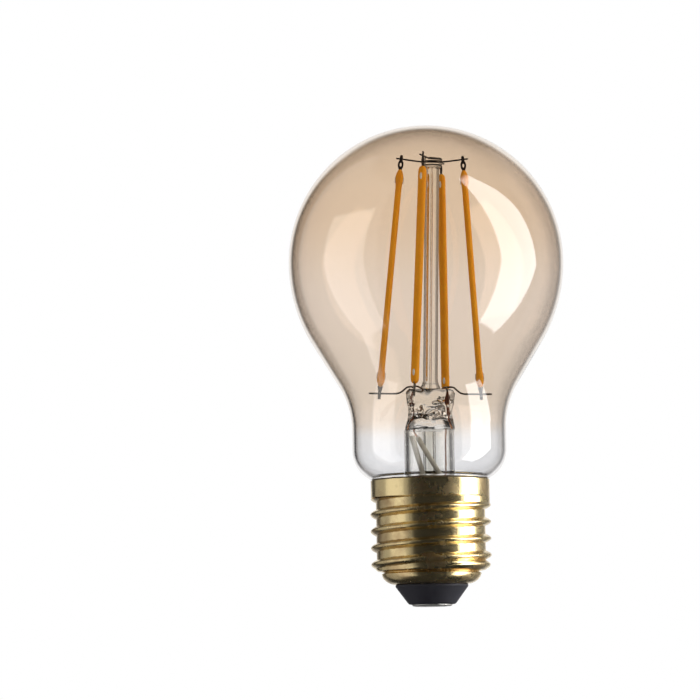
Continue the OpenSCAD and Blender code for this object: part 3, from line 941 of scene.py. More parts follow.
class Recipe:
    """A Geometry Nodes tree with named inputs, which makes a plain mesh out of a base."""

    def __init__(self, name: str, inputs: dict[str, float | int]) -> None:
        """Makes the tree with a geometry and a material input, and one for each size.

        Args:
            name: the tree's name.
            inputs: each size's name and default value.
        """
        self.tree = bpy.data.node_groups.new(name, "GeometryNodeTree")
        face = self.tree.interface
        face.new_socket("Geometry", in_out="INPUT", socket_type="NodeSocketGeometry")
        face.new_socket("Material", in_out="INPUT", socket_type="NodeSocketMaterial")
        for label, value in inputs.items():
            kind = "NodeSocketInt" if isinstance(value, int) else "NodeSocketFloat"
            face.new_socket(label, in_out="INPUT", socket_type=kind).default_value = value
        face.new_socket("Geometry", in_out="OUTPUT", socket_type="NodeSocketGeometry")
        self.inlet = self.tree.nodes.new("NodeGroupInput")

    def size(self, label: str) -> Field:
        """One of the named inputs, as a field."""
        return Field(self.tree, self.inlet.outputs[label])

    def add(self, kind: str, **links: object) -> bpy.types.Node:
        """Adds a node and fills its inputs."""
        return add_node(self.tree, kind, **links)

    def close(self, geometry: bpy.types.NodeSocket) -> None:
        """Ends the tree: instances made real, then the material set."""
        real = self.add("GeometryNodeRealizeInstances", Geometry=geometry)
        dressed = self.add(
            "GeometryNodeSetMaterial",
            Geometry=real.outputs[0],
            Material=self.inlet.outputs["Material"],
        )
        outlet = self.tree.nodes.new("NodeGroupOutput")
        self.tree.links.new(dressed.outputs[0], outlet.inputs[0])

    def run(self, base: bpy.types.Object, slot: Slot, **sizes: float | int) -> bpy.types.Object:
        """Runs the tree on a base and keeps the result as a plain mesh.

        Args:
            base: the object that the tree starts from.
            slot: the finish for the Set Material node.
            sizes: the named inputs, with underscores for spaces.

        Returns:
            The same object with the finished mesh.
        """
        modifier = base.modifiers.new(self.tree.name, "NODES")
        modifier.node_group = self.tree
        values = {label.replace("_", " "): value for label, value in sizes.items()}
        values["Material"] = PALETTE.material(slot)
        for item in self.tree.interface.items_tree:
            if item.in_out == "INPUT" and item.name in values:
                modifier[item.identifier] = values[item.name]
        graph = bpy.context.evaluated_depsgraph_get()
        mesh = bpy.data.meshes.new_from_object(base.evaluated_get(graph))
        base.modifiers.clear()
        mesh.name = base.name
        base.data = mesh
        shade(mesh)
        return base


class SweepRecipe(Recipe):
    """A round wire or tube along a line."""

    def __init__(self) -> None:
        """Lays the tree: the line becomes a curve, and a circle runs along it."""
        super().__init__("round_wire", {"Radius": 0.0002, "Sides": 16})
        line = self.add("GeometryNodeMeshToCurve", Mesh=self.inlet.outputs["Geometry"])
        ring = self.add(
            "GeometryNodeCurvePrimitiveCircle",
            Resolution=self.inlet.outputs["Sides"],
            Radius=self.inlet.outputs["Radius"],
        )
        tube = self.add(
            "GeometryNodeCurveToMesh",
            Curve=line.outputs[0],
            Profile_Curve=ring.outputs[0],
            Fill_Caps=True,
        )
        self.close(tube.outputs[0])

    def wire(self, name: str, path: np.ndarray, diameter: float, slot: Slot,
             sides: int = 16) -> bpy.types.Object:
        """Makes one wire.

        Args:
            name: the piece's name.
            path: the line that it follows, in millimetres.
            diameter: its diameter.
            slot: its finish.
            sides: how many sides its circle has.

        Returns:
            The wire.
        """
        edges = [(i, i + 1) for i in range(len(path) - 1)]
        base = mesh_object(name, path, [], edges)
        return self.run(base, slot, Radius=diameter / 2 * MM, Sides=sides)


class ThreadRecipe(Recipe):
    """Raises a rolled thread on a plain turned shell."""

    def __init__(self) -> None:
        """Lays the tree: each point moves away from the axis by the ridge's height there."""
        super().__init__(
            "rolled_thread",
            {
                "Pitch": 0.003629, "Depth": 0.00125, "Ridge Share": 0.62, "First Crest": 0.0092,
                "Thread Foot": 0.0083, "Thread Top": 0.02325, "Last Turn": 3.0,
                "Collar Reach": 0.0129, "Fill Top": 0.0239,
            },
        )
        place = self.add("GeometryNodeInputPosition")
        parts = self.add("ShaderNodeSeparateXYZ", Vector=place.outputs[0])
        x, y, z = (Field(self.tree, parts.outputs[i]) for i in range(3))
        pitch, share = self.size("Pitch"), self.size("Ridge Share")
        first, foot = self.size("First Crest"), self.size("Thread Foot")
        turn = x.lay("ARCTAN2", y, x) / (2 * math.pi)
        turn = turn + turn.below(0.0)
        phase = (z - first) / pitch - turn + 0.5
        off = phase - phase.rounded()
        crest_height = z - off * pitch
        inside = off.magnitude().below(share * 0.5)
        wave = ((off / share * (2 * math.pi)).cosine() + 1.0) * 0.5
        begun = ((crest_height - foot) / pitch).rise(0.06, 0.22)
        ridge = wave * inside * begun
        lead_in = ((z - foot) / pitch - 0.13) / share
        lead_wave = ((lead_in * (2 * math.pi)).cosine() + 1.0) * 0.5
        lead_in_ridge = lead_wave * 0.6 * lead_in.magnitude().below(0.5)
        sector = (1.0 - turn.rise(0.36, 0.56)) + turn.rise(0.66, 0.95)
        ridge = ridge.largest(lead_in_ridge * sector)
        wrapped = turn + 0.5 - turn.rise(0.49999, 0.50001)
        last = first + pitch * (self.size("Last Turn") + wrapped)
        closing = (1.0 - turn.rise(0.49, 0.5)) + turn.rise(0.76, 0.99)
        filled = last.below(z) * closing
        reach = (x * x + y * y).lay("SQRT", x * x + y * y)
        ridge = ridge.lay("POWER", ridge, 0.42)
        threaded = z.lay("GREATER_THAN", z, foot - 0.0006) * z.below(self.size("Thread Top"))
        gap = self.size("Collar Reach") - reach
        outer = gap.below(self.size("Depth"))
        step = gap.largest(0.0) * outer * filled * z.below(self.size("Fill Top"))
        lift = (self.size("Depth") * ridge * threaded).largest(step)
        factor = lift / reach
        move = self.add(
            "ShaderNodeCombineXYZ", X=(x * factor).source, Y=(y * factor).source, Z=0.0
        )
        raised = self.add(
            "GeometryNodeSetPosition",
            Geometry=self.inlet.outputs["Geometry"],
            Offset=move.outputs[0],
        )
        self.close(raised.outputs[0])


class ChipRowRecipe(Recipe):
    """A row of small dies along a strip, spaced evenly."""

    def __init__(self) -> None:
        """Lays the tree: a line of points with a block on each."""
        super().__init__(
            "die_row", {"Count": 28, "Spacing": 0.0015, "Width": 0.0003, "Height": 0.0007,
                        "Thickness": 0.00012},
        )
        size = self.add(
            "ShaderNodeCombineXYZ",
            X=self.inlet.outputs["Width"],
            Y=self.inlet.outputs["Thickness"],
            Z=self.inlet.outputs["Height"],
        )
        step = self.add("ShaderNodeCombineXYZ", X=0.0, Y=0.0, Z=self.inlet.outputs["Spacing"])
        row = self.add(
            "GeometryNodeMeshLine", Count=self.inlet.outputs["Count"], Offset=step.outputs[0]
        )
        die = self.add("GeometryNodeMeshCube", Size=size.outputs[0])
        placed = self.add("GeometryNodeInstanceOnPoints", Points=row.outputs[0],
                          Instance=die.outputs["Mesh"])
        self.close(placed.outputs[0])


SWEEP = SweepRecipe()
THREAD = ThreadRecipe()
DIES = ChipRowRecipe()


# ---------------------------------------------------------------- the glass


@dataclass
class Envelope:
    """The blown glass: a crown, a shoulder, a neck and a rounded foot that enters the cap."""

    wall: float = 0.8
    lower_arc_extra: float = 4.0
    widest_h: float = 47.5
    neck_d: float = 33.6
    neck_h: float = 4.7
    neck_fillet_r: float = 18.0
    neck_foot_r: float = 7.2
    segments: int = 320
    shrink: float = 0.9995

    def outline(self, inset: float) -> Outline:
        """The glass's surface from the crown to the throat.

        Args:
            inset: how far inside the outer surface.

        Returns:
            The outline.
        """
        low, high = box_mm("glass_envelope")
        rim_z = box_mm("screw_shell")[1].z
        throat_r = box_mm("flare_tube")[1].x
        crown_r = high.z - rim_z - self.widest_h
        crown_z = high.z - crown_r
        neck_r = self.neck_d / 2
        foot_x = neck_r - self.neck_foot_r
        foot_turn = math.degrees(math.acos((throat_r + 0.45 - foot_x) / self.neck_foot_r))
        foot_z = rim_z + 0.1 + self.neck_foot_r * math.sin(math.radians(foot_turn))
        neck_top = foot_z + self.neck_h
        lower_r = crown_r + self.lower_arc_extra
        c1 = (-self.lower_arc_extra, crown_z)
        c2 = (neck_r + self.neck_fillet_r, neck_top)
        across, down = c2[0] - c1[0], c2[1] - c1[1]
        gap = math.hypot(across, down)
        tangent = math.degrees(
            math.atan2(down, across) + math.acos((lower_r + self.neck_fillet_r) / gap)
        )
        return [
            (0.0, high.z - inset),
            *arc((0.0, crown_z), crown_r - inset, 88.5, 0.0, 46),
            *arc(c1, lower_r - inset, tangent / 12, tangent, 22),
            *arc(c2, self.neck_fillet_r + inset, 180 + tangent, 180, 22),
            *arc((foot_x, foot_z), self.neck_foot_r - inset, 0, -foot_turn, 16),
            (throat_r - inset, rim_z - 0.5 - 0.4 * inset),
            (throat_r - inset, low.z + 0.02),
        ]

    def build(self) -> None:
        """Turns both walls as one closed glass."""
        outline = [*self.outline(0.0), *reversed(self.outline(self.wall))]
        outline = [(radius * self.shrink, height) for radius, height in outline]
        piece = turned("bulb_glass", outline, self.segments)
        piece.visible_diffuse = False
        piece.visible_shadow = False
        hand_over(piece, Slot.AMBER_GLASS, "glass_envelope")


# ---------------------------------------------------------------- the mount


@dataclass
class MountAxis:
    """The leaning axis that the press, the post and the filaments stand on."""

    lean: float = 1.5
    pivot_rise: float = 2.5
    press_h: float = 9.2
    lead_drop: float = 1.1
    crown_gap: float = 7.2

    def __post_init__(self) -> None:
        """Takes the heights from the frame."""
        self.pivot_z = box_mm("screw_shell")[1].z + self.pivot_rise
        self.press_z = box_mm("flare_tube")[1].z
        self.press_top_z = self.press_z + self.press_h
        self.lead_z = self.press_top_z - self.lead_drop
        self.head_z = box_mm("glass_envelope")[1].z - self.crown_gap

    def place(self, points: Sequence[Sequence[float]], turn: float = 0.0) -> np.ndarray:
        """Turns points about the mount's axis and leans them with it.

        Args:
            points: points about an upright axis.
            turn: a turn about that axis, in degrees.

        Returns:
            The points in the bulb's frame.
        """
        p = np.atleast_2d(np.array(points, float))
        a, b = math.radians(turn), math.radians(self.lean)
        x = p[:, 0] * math.cos(a) - p[:, 1] * math.sin(a)
        y = p[:, 0] * math.sin(a) + p[:, 1] * math.cos(a)
        h = p[:, 2] - self.pivot_z
        return np.stack(
            [x * math.cos(b) + h * math.sin(b), y, self.pivot_z - x * math.sin(b) + h * math.cos(b)],
            axis=1,
        )


@dataclass(frozen=True)
class Dent:
    """A soft bump on the press, or a hollow if its lift is negative."""

    x: float
    drop: float
    width: float
    height: float
    lift: float

    def lift_at(self, x: float, drop: float) -> float:
        """The lift at a point, given how far right and how far under the press's top it is."""
        across, down = (x - self.x) / self.width, (drop - self.drop) / self.height
        return self.lift * math.exp(-(across**2) - down**2)


@dataclass(frozen=True)
class AirSpace:
    """A closed space in the press: its middle, how far that is under the top, its half sizes."""

    x: float
    y: float
    drop: float
    half_w: float
    half_t: float
    half_h: float


@dataclass
class Stem:
    """The fused glass foot of the mount: flare tube, press, exhaust tube, post and button."""

    axis: MountAxis
    dents: tuple[Dent, ...] = (
        Dent(-3.3, 1.6, 1.5, 1.4, 0.5), Dent(3.7, 1.9, 1.4, 1.5, 0.6),
        Dent(0.9, 6.2, 1.1, 1.2, 1.2), Dent(2.2, 3.0, 1.2, 0.9, -0.7),
    )
    valley: Dent = Dent(-0.5, 0.0, 1.1, 1.6, -0.9)
    air: tuple[AirSpace, ...] = (
        AirSpace(1.6, -0.2, 3.1, 1.35, 0.5, 0.62), AirSpace(0.9, -0.5, 6.3, 0.95, 0.75, 1.0),
        AirSpace(-1.9, 0.1, 5.4, 0.7, 0.6, 1.5),
    )
    flare_d: float = 10.9
    flare_wall: float = 0.9
    bell_h: float = 3.4
    press_w: float = 10.7
    exhaust_d: float = 2.8
    exhaust_bore: float = 1.7
    post_d: float = 3.2
    post_bore: float = 0.3
    button_d: float = 4.7
    button_h: float = 2.3

    def flare(self) -> None:
        """The tube that widens like a trumpet to the flange under the glass."""
        low, high = box_mm("flare_tube")
        flange_top, edge = low.z + 0.8, high.x
        bell_r = edge - 0.9
        outer, inner = self.flare_d / 2, self.flare_d / 2 - self.flare_wall

        def bell(radius: float, base: float) -> Outline:
            """The trumpet's curve from the tube to the flange."""
            turns = np.radians(np.linspace(0, 90, 13))
            return [
                (radius + (bell_r - radius) * (1 - math.cos(a)), base + self.bell_h * (1 - math.sin(a)))
                for a in turns
            ]

        outline = [
            (inner, high.z - 0.05), (outer, high.z - 0.05),
            *bell(outer, flange_top),
            (edge - 0.02, flange_top), (edge - 0.02, low.z),
            *reversed(bell(inner, low.z)),
        ]
        flare = turned("flare_glass", outline, 96, looped=True)
        flare.visible_diffuse = False
        hand_over(flare, Slot.CLEAR_GLASS, "flare_tube")

    def press(self) -> None:
        """The pinched foot: a flattened block with soft bosses, dents and an air hole."""
        base = self.axis.press_z
        half_d = self.flare_d / 2
        rows = (
            (0.00, half_d - 0.02, half_d - 0.02, 2.0), (0.07, half_d, half_d - 0.25, 2.0),
            (0.16, half_d - 0.15, half_d - 1.2, 2.1), (0.26, self.press_w / 2 - 0.35, 3.2, 2.3),
            (0.38, self.press_w / 2 - 0.6, 2.65, 2.8), (0.50, self.press_w / 2 - 0.55, 2.45, 3.2),
            (0.64, self.press_w / 2 - 0.3, 2.4, 3.2), (0.78, self.press_w / 2 - 0.05, 2.5, 3.0),
            (0.90, self.press_w / 2 + 0.05, 2.4, 2.8), (0.97, self.press_w / 2 - 0.25, 2.0, 2.6),
            (1.00, self.press_w / 2 - 0.9, 1.3, 2.4),
        )
        heights = np.linspace(0, 1, 44)
        table = np.array(rows)
        sides = 88
        rings = []
        for t in heights:
            half_w, half_t, square = (np.interp(t, table[:, 0], table[:, k]) for k in (1, 2, 3))
            a = 2 * math.pi * np.arange(sides) / sides
            x = half_w * np.sign(np.cos(a)) * np.abs(np.cos(a)) ** (2 / square)
            y = half_t * np.sign(np.sin(a)) * np.abs(np.sin(a)) ** (2 / square)
            z = np.full(sides, base + self.axis.press_h * t)
            ring = np.stack([x, y, z], axis=1)
            swell = math.sin(math.pi * min(1.0, max(0.0, t * 1.04)))
            for i, p in enumerate(ring):
                ring[i] += self._soft_dent(p, swell)
            rings.append(self.axis.place(ring) if t > 0 else ring)
        press = merged("press_glass", [lofted("block", rings)], self.hollows())
        press.visible_diffuse = False
        hand_over(press, Slot.CLEAR_GLASS, "press_seal")

    def _soft_dent(self, point: np.ndarray, swell: float) -> np.ndarray:
        """How far the jaws and the flame have moved one point of the press.

        Args:
            point: the point before it is moved.
            swell: how strongly it may move, from 0 to 1.

        Returns:
            The movement.
        """
        x, y, z = point
        drop = self.axis.press_top_z - z
        here = Vector((x, y, z))
        wavy = 0.75 * noise.noise(here * 0.55 + Vector((3.1, 7.7, 1.9)))
        wavy += 0.4 * noise.noise(here * 1.1)
        out = math.copysign(1.0, y) * sum(dent.lift_at(x, drop) for dent in self.dents)
        down = self.valley.lift_at(x, drop)
        return np.array([0.35 * wavy * swell, (out + wavy) * swell, down + 0.3 * wavy * swell])

    def hollows(self) -> list[bpy.types.Object]:
        """The skins of the air spaces in the press."""
        sides, rows = 28, 15
        a = 2 * math.pi * np.arange(sides) / sides
        skins = []
        for space in self.air:
            rings = []
            for b in np.linspace(0, math.pi, rows)[1:-1]:
                x = space.x + space.half_w * np.sin(b) * np.cos(a)
                y = space.y + space.half_t * np.sin(b) * np.sin(a)
                height = self.axis.press_top_z - space.drop - space.half_h * math.cos(b)
                rings.append(self.axis.place(np.stack([x, y, np.full(sides, height)], axis=1)))
            skins.append(lofted("hollow", rings))
        return skins

    def exhaust(self) -> None:
        """The exhaust tube, drawn to a sealed tip."""
        low, high = box_mm("exhaust_tube")
        outer, bore = self.exhaust_d / 2, self.exhaust_bore / 2
        outline = [
            (0.0, low.z), *arc((0.0, low.z + outer), outer, -82, 0, 10),
            (outer, high.z - 0.3), (bore, high.z - 0.3),
            *arc((0.0, low.z + outer + 0.6), bore, 0, -82, 8), (0.0, low.z + outer + 0.6 - bore),
        ]
        hand_over(turned("exhaust_glass", outline, 48), Slot.CLEAR_GLASS, "exhaust_tube")

    def post(self) -> None:
        """The clear post, hollow like a straw, that carries the top wires."""
        foot, head = self.axis.press_top_z - 0.15, self.axis.head_z - 2.0
        outer, bore = self.post_d / 2, self.post_bore / 2
        outline = [
            (bore, foot), *eased([(bore, foot), (outer + 0.9, foot), (outer, foot + 1.6),
                                  (outer, head - 0.02)], 1.0)[1:],
            (bore, head - 0.02),
        ]
        piece = turned("post_glass", outline, 64, looped=True)
        self._lean(piece)
        hand_over(piece, Slot.CLEAR_GLASS, "centre_post")

    def button(self) -> None:
        """The melted knob on the post, with a ring at its neck."""
        base = self.axis.head_z - 2.0
        neck, outer, top = self.post_d / 2 + 0.3, self.button_d / 2, base + self.button_h
        outline = eased(
            [(0.0, base), (neck, base), (neck + 0.05, base + 0.3), (neck - 0.1, base + 0.45),
             (outer - 0.1, base + 0.6), (outer, base + 1.2), (outer - 0.15, top - 0.1),
             (outer - 0.6, top), (0.0, top - 0.12)], 0.22,
        )
        piece = turned("button_glass", outline, 64)
        self._lean(piece)
        hand_over(piece, Slot.CLEAR_GLASS, "post_button")

    def _lean(self, piece: bpy.types.Object) -> None:
        """Leans an upright piece with the mount, in its mesh."""
        pivot = Vector((0.0, 0.0, self.axis.pivot_z * MM))
        turn = Matrix.Rotation(math.radians(self.axis.lean), 4, "Y")
        piece.data.transform(Matrix.Translation(pivot) @ turn @ Matrix.Translation(-pivot))

    def build(self) -> None:
        """Builds all the glass of the mount."""
        self.flare()
        self.press()
        self.exhaust()
        self.post()
        self.button()


@dataclass
class LeadSet:
    """Every wire of the mount: supports, leads, branches, seals, outer leads and sleeves."""

    axis: MountAxis
    lead_d: float = 0.4
    support_d: float = 0.36
    sleeve_d: float = 1.1
    seal_x: float = 3.5
    head_r: float = 6.75
    foot_r: float = 11.05
    cross_turn: float = -19.5
    button_d: float = 4.7

    def supports(self) -> None:
        """The two top wires through the button."""
        tip, bend = self.head_r + 1.1, self.button_d / 2 + 0.2
        for name, drop, turn, node in (
            ("support_side", 0.55, 0.0, "support_wire_side"),
            ("support_cross", 0.05, 90 + self.cross_turn, "support_wire_cross"),
        ):
            mid = self.axis.head_z - drop
            rise = drop / (self.head_r - bend)
            points = [
                (-tip, 0, mid + rise * (tip - bend)), (-self.head_r, 0, mid + drop),
                (-bend, 0, mid), (0, 0, mid), (bend, 0, mid),
                (self.head_r, 0, mid + drop), (tip, 0, mid + rise * (tip - bend)),
            ]
            path = smooth_path([tuple(p) for p in self.axis.place(points, turn)])
            hand_over(SWEEP.wire(name, path, self.support_d, Slot.SUPPORT), Slot.SUPPORT, node)

    def leads(self) -> None:
        """The two bent leads, and the branches that reach the filaments front and back."""
        top, weld, s = self.axis.press_top_z, self.axis.lead_z, self.seal_x
        tip = self.foot_r + 2.35
        lead = [
            (s, 0, top - 1.1), (s, 0, top + 0.05), (s + 0.3, 0, top + 0.38),
            (s + 0.9, 0, top + 0.5), (s + 1.6, 0, top + 0.35), (s + 2.3, 0, weld + 0.85),
            (s + 3.0, 0, weld + 0.3), (s + 3.8, 0, weld + 0.05), (s + 4.6, 0, weld),
            (tip, 0, weld),
        ]
        a = math.radians(90 + self.cross_turn)

        def out(radius: float, height: float) -> Point:
            """A point on the way to the filament behind the press."""
            return (radius * math.cos(a), radius * math.sin(a), height)

        branch = [
            (s + 1.1, 0.4, top + 0.45), (s + 0.4, 0.5, top + 0.5), (s - 0.2, 1.2, top + 0.5),
            (s - 0.8, 2.6, top + 0.35), out(4.6, weld + 0.6), out(5.8, weld + 0.1),
            out(6.8, weld), out(tip, weld),
        ]
        for name, points, turn in (
            ("inner_lead_right", lead, 0.0), ("inner_lead_left", lead, 180.0),
            ("branch_wire_back", branch, 0.0), ("branch_wire_front", branch, 180.0),
        ):
            path = smooth_path([tuple(p) for p in self.axis.place(points, turn)])
            wire = SWEEP.wire(f"{name}_wire", path, self.lead_d, Slot.LEAD)
            hand_over(wire, Slot.LEAD, name)

    def seals(self) -> None:
        """The reddish wires that pass through the press."""
        low, high = self.axis.press_z + 0.8, self.axis.press_top_z - 1.1
        for name, side in (("seal_wire_left", -1), ("seal_wire_right", 1)):
            points = [(side * self.seal_x, 0, low + (high - low) * t) for t in (0, 0.5, 1)]
            path = smooth_path([tuple(p) for p in self.axis.place(points)])
            wire = SWEEP.wire(f"{name}_core", path, self.lead_d, Slot.SEAL_WIRE)
            hand_over(wire, Slot.SEAL_WIRE, name)

    def routes(self) -> dict[str, list[Point]]:
        """The ways of the outer leads and the antenna down the flare tube.

        Returns:
            Each route's points by name.
        """
        p, s = self.axis.press_z, self.seal_x
        top = box_mm("driver_board")[1].z
        under = box_mm("driver_board")[0].z
        left = [tuple(q) for q in self.axis.place([(-s, 0, p + 0.8), (-s, 0, p - 0.3)])]
        right = [tuple(q) for q in self.axis.place([(s, 0, p + 0.8), (s, 0, p - 0.3)])]
        back = box_mm("wireless_board")[1].y + self.lead_d / 2
        return {
            "left": [
                *left, (-2.4, -1.0, p - 1.7), (-1.1, -2.3, p - 4.1), (0.3, -2.9, p - 6.7),
                (1.6, -2.8, p - 9.3), (2.5, -2.5, p - 11.7), (3.0, -2.2, p - 14.7),
                (3.2, -2.0, top + 9), (3.2, -1.9, top + 5.6), (3.2, -1.6, top + 2.8),
                (3.2, -1.4, under),
            ],
            "right": [
                *right, (3.6, 0.3, p - 1.9), (3.6, 0.6, p - 5.3), (3.6, 0.8, p - 9.3),
                (3.5, 0.9, p - 13.3), (3.4, 0.7, top + 9.6), (3.4, 0.5, top + 5.6),
                (3.3, 0.4, under),
            ],
            "antenna": [
                (-3.5, -1.7, p - 1.3), (-3.1, -1.9, p - 3.1), (-2.6, -2.2, p - 5.3),
                (-2.0, -2.5, p - 7.7), (-1.5, -2.6, p - 10.3), (-1.3, -2.7, p - 13.1),
                (-1.4, -2.7, p - 15.7), (-1.4, -2.8, top + 9), (-1.4, back, top + 7.4),
            ],
        }

    def outer(self) -> None:
        """The outer leads and the antenna, with their pale sleeves."""
        routes = self.routes()
        for name, key in (
            ("outer_lead_left", "left"), ("outer_lead_right", "right"), ("antenna_wire", "antenna"),
        ):
            wire = SWEEP.wire(f"{name}_core", smooth_path(routes[key]), self.lead_d, Slot.COPPER)
            hand_over(wire, Slot.COPPER, name)
        for name, key, first, last in (
            ("lead_sleeve_left", "left", 2, 10), ("lead_sleeve_right", "right", 5, 7),
            ("antenna_sleeve", "antenna", 0, 7),
        ):
            path = smooth_path(routes[key])[first * 6:last * 6 + 1]
            tube = SWEEP.wire(f"{name}_braid", path, self.sleeve_d, Slot.SLEEVE, 24)
            hand_over(tube, Slot.SLEEVE, name)

    def build(self) -> None:
        """Builds every wire."""
        self.supports()
        self.leads()
        self.seals()
        self.outer()


# ---------------------------------------------------------------- the filaments


class Side(Enum):
    """Where a filament stands on the mount."""

    LEFT = "left"
    RIGHT = "right"
    FRONT = "front"
    BACK = "back"


@dataclass
class Filament:
    """One LED filament: a strip with a row of dies, coated in phosphor, with metal ends."""

    side: Side
    inset: float = 1.4
    coat_t: float = 1.84
    coat_w: float = 1.44
    end_w: float = 1.84
    tab_t: float = 0.2
    stub_w: float = 0.66
    clip_offset: float = 2.35
    eye_w: float = 1.25
    eye_h: float = 2.3
    hole_w: float = 0.4
    hole_h: float = 0.85
    steps: int = 110

    def __post_init__(self) -> None:
        """Finds the strip's ends and its wide side from the frame."""
        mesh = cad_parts[f"filament_{self.side.value}_strip"].data
        points = np.array([v.co for v in mesh.vertices]) / MM
        middle = (points[:, 2].min() + points[:, 2].max()) / 2
        lower = np.unique(points[points[:, 2] < middle].round(4), axis=0)
        upper = np.unique(points[points[:, 2] >= middle].round(4), axis=0)
        self.foot, self.head = lower.mean(0), upper.mean(0)
        self.up = (self.head - self.foot) / np.linalg.norm(self.head - self.foot)
        spread = lower - self.foot
        across = spread - np.outer(spread @ self.up, self.up)
        wide = np.linalg.svd(across)[2][0]
        away = np.array([self.foot[0], self.foot[1], 0.0])
        self.out = wide * math.copysign(1.0, float(wide @ away))
        self.flat = np.cross(self.up, self.out)
        self.span = float(np.linalg.norm(self.head - self.foot))

    def at(self, along: float, out: float | np.ndarray, flat: float | np.ndarray) -> np.ndarray:
        """Points beside the strip.

        Args:
            along: the distance from the strip's lower end, up it.
            out: the distance away from the mount's axis.
            flat: the distance across the strip's face.

        Returns:
            The points in the bulb's frame.
        """
        base = self.foot + self.up * along
        return base + np.outer(np.atleast_1d(out), self.out) + np.outer(np.atleast_1d(flat), self.flat)

    def coat(self) -> None:
        """The phosphor coat: two rounded beads, swollen over the metal ends."""
        length = self.span + 2 * self.inset
        from_end = np.array([0.0, 0.10, 0.30, 0.60, 1.0, 1.4, 1.9, 2.4, 2.9, 3.5, 4.5, 6.0])
        width = np.array(
            [0.5, 0.8, 1.05, 1.28, 1.58, 1.76, self.end_w, 1.8, 1.66, 1.52, 1.44, self.coat_w]
        )
        thick = np.array([0.6, 1.0, 1.38, 1.64, 1.78, *[self.coat_t] * 7])
        stations = sorted(set(np.concatenate(
            [from_end, length - from_end, np.linspace(6, length - 6, self.steps)]
        ).round(4)))
        a = 2 * math.pi * np.arange(36) / 36
        seam = 1 - 0.07 * np.exp(-((np.abs(np.sin(a)) / 0.24) ** 2))
        rings = []
        for s in stations:
            near = min(s, length - s)
            ripple = 1 + 0.012 * noise.noise(Vector((s * 0.35, self.foot[0], self.foot[1])))
            w = np.interp(near, from_end, width) / 2 * ripple
            t = np.interp(near, from_end, thick) / 2 * ripple
            rings.append(self.at(s - self.inset, w * np.cos(a) * seam, t * np.sin(a)))
        piece = lofted(f"filament_{self.side.value}_phosphor", rings)
        hand_over(piece, Slot.PHOSPHOR, f"filament_{self.side.value}_coating")

    def eyelet(self) -> None:
        """The tab at the top, whose eye hangs under the top wire. It takes the dark support-wire
        finish, not the bright tab metal of the foot tabs: painted shade for a tab seen edge-lit.
        """
        node = f"filament_{self.side.value}_top_tab"
        points = np.array([v.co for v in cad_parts[node].data.vertices]) / MM
        wire_at = float(((points - self.foot) @ self.up).max()) - 0.95
        middle = wire_at - 1.32
        rings = []
        angles = 2 * math.pi * np.arange(72) / 72
        up, side = np.cos(angles), np.sin(angles)
        ear = 1 / np.hypot(up / self.eye_h * 2, side / self.eye_w * 2)
        reach = np.where(up > 0, wire_at + 0.85 - middle, middle - self.span)
        stub = np.minimum(
            self.stub_w / 2 / np.maximum(np.abs(side), 1e-6), reach / np.maximum(np.abs(up), 1e-6)
        )
        edge = np.maximum(ear, stub)
        hole = 1 / np.hypot(up / self.hole_h * 2, side / self.hole_w * 2)
        for radius, lift in ((edge, -1), (edge, 1), (hole, 1), (hole, -1)):
            ring = [
                self.at(middle + r * u, r * w, lift * self.tab_t / 2)[0]
                for r, u, w in zip(radius, up, side)
            ]
            rings.append(np.array(ring))
        index = [list(range(i * 72, (i + 1) * 72)) for i in range(4)]
        faces = ring_faces([*zip(index, index[1:]), (index[-1], index[0])])
        piece = mesh_object(f"filament_{self.side.value}_eyelet", np.concatenate(rings), faces)
        # Painted shade: the top tab takes the dark support-wire finish, while the foot tabs take the
        # bright tab metal.
        hand_over(piece, Slot.SUPPORT, node)

    def clip_glints(self) -> None:
        """Small pale bumps near the strip's ends, over the strip's clips: the bumps are shape, and
        their pale colour is a painted highlight for the glints on them.
        """
        parts = []
        for along in (self.clip_offset - self.inset, self.span + self.inset - self.clip_offset):
            for sign in (-1, 1):
                a = 2 * math.pi * np.arange(20) / 20
                reach = self.end_w / 2
                rings = []
                for b, lift in ((0.3, 0.07), (0.7, 0.055), (1.0, 0.0), (1.0, -0.3)):
                    ring = [
                        self.at(along + 0.72 * b * math.sin(t), sign * (reach + lift),
                                0.25 * b * math.cos(t))[0]
                        for t in a
                    ]
                    rings.append(np.array(ring))
                parts.append(lofted("part", rings))
        piece = merged(f"filament_{self.side.value}_clips", parts)
        # Painted highlight: the bumps take the strip's pale finish to stand in for glints.
        hand_over(piece, Slot.STRIP)

    def dies(self) -> None:
        """The row of dies on the strip's face, under the coat."""
        low, high = box_mm(f"filament_{self.side.value}_chips")
        count = 28
        name = f"filament_{self.side.value}_dies"
        base = mesh_object(name, np.zeros((1, 3)), [])
        spacing = self.span / count
        row = DIES.run(base, Slot.LED_DIE, Count=count, Spacing=spacing * MM)
        row.data.shade_flat()
        start = self.at(spacing / 2, 0.0, 0.24)[0]
        turn = Matrix((self.out, self.flat, self.up)).transposed().to_4x4()
        row.data.transform(Matrix.Translation(Vector(start) * MM) @ turn)
        hand_over(row, Slot.LED_DIE, f"filament_{self.side.value}_chips")
        LOG.info("%s spans %.1f to %.1f mm", name, low.z, high.z)

    def build(self) -> None:
        """Builds the filament, with its strip and tabs as the frame has them."""
        self.coat()
        self.clip_glints()
        self.eyelet()
        self.dies()
        redress(Slot.STRIP, f"filament_{self.side.value}_strip")
        redress(Slot.TAB, f"filament_{self.side.value}_foot_tab")


# ---------------------------------------------------------------- the cap


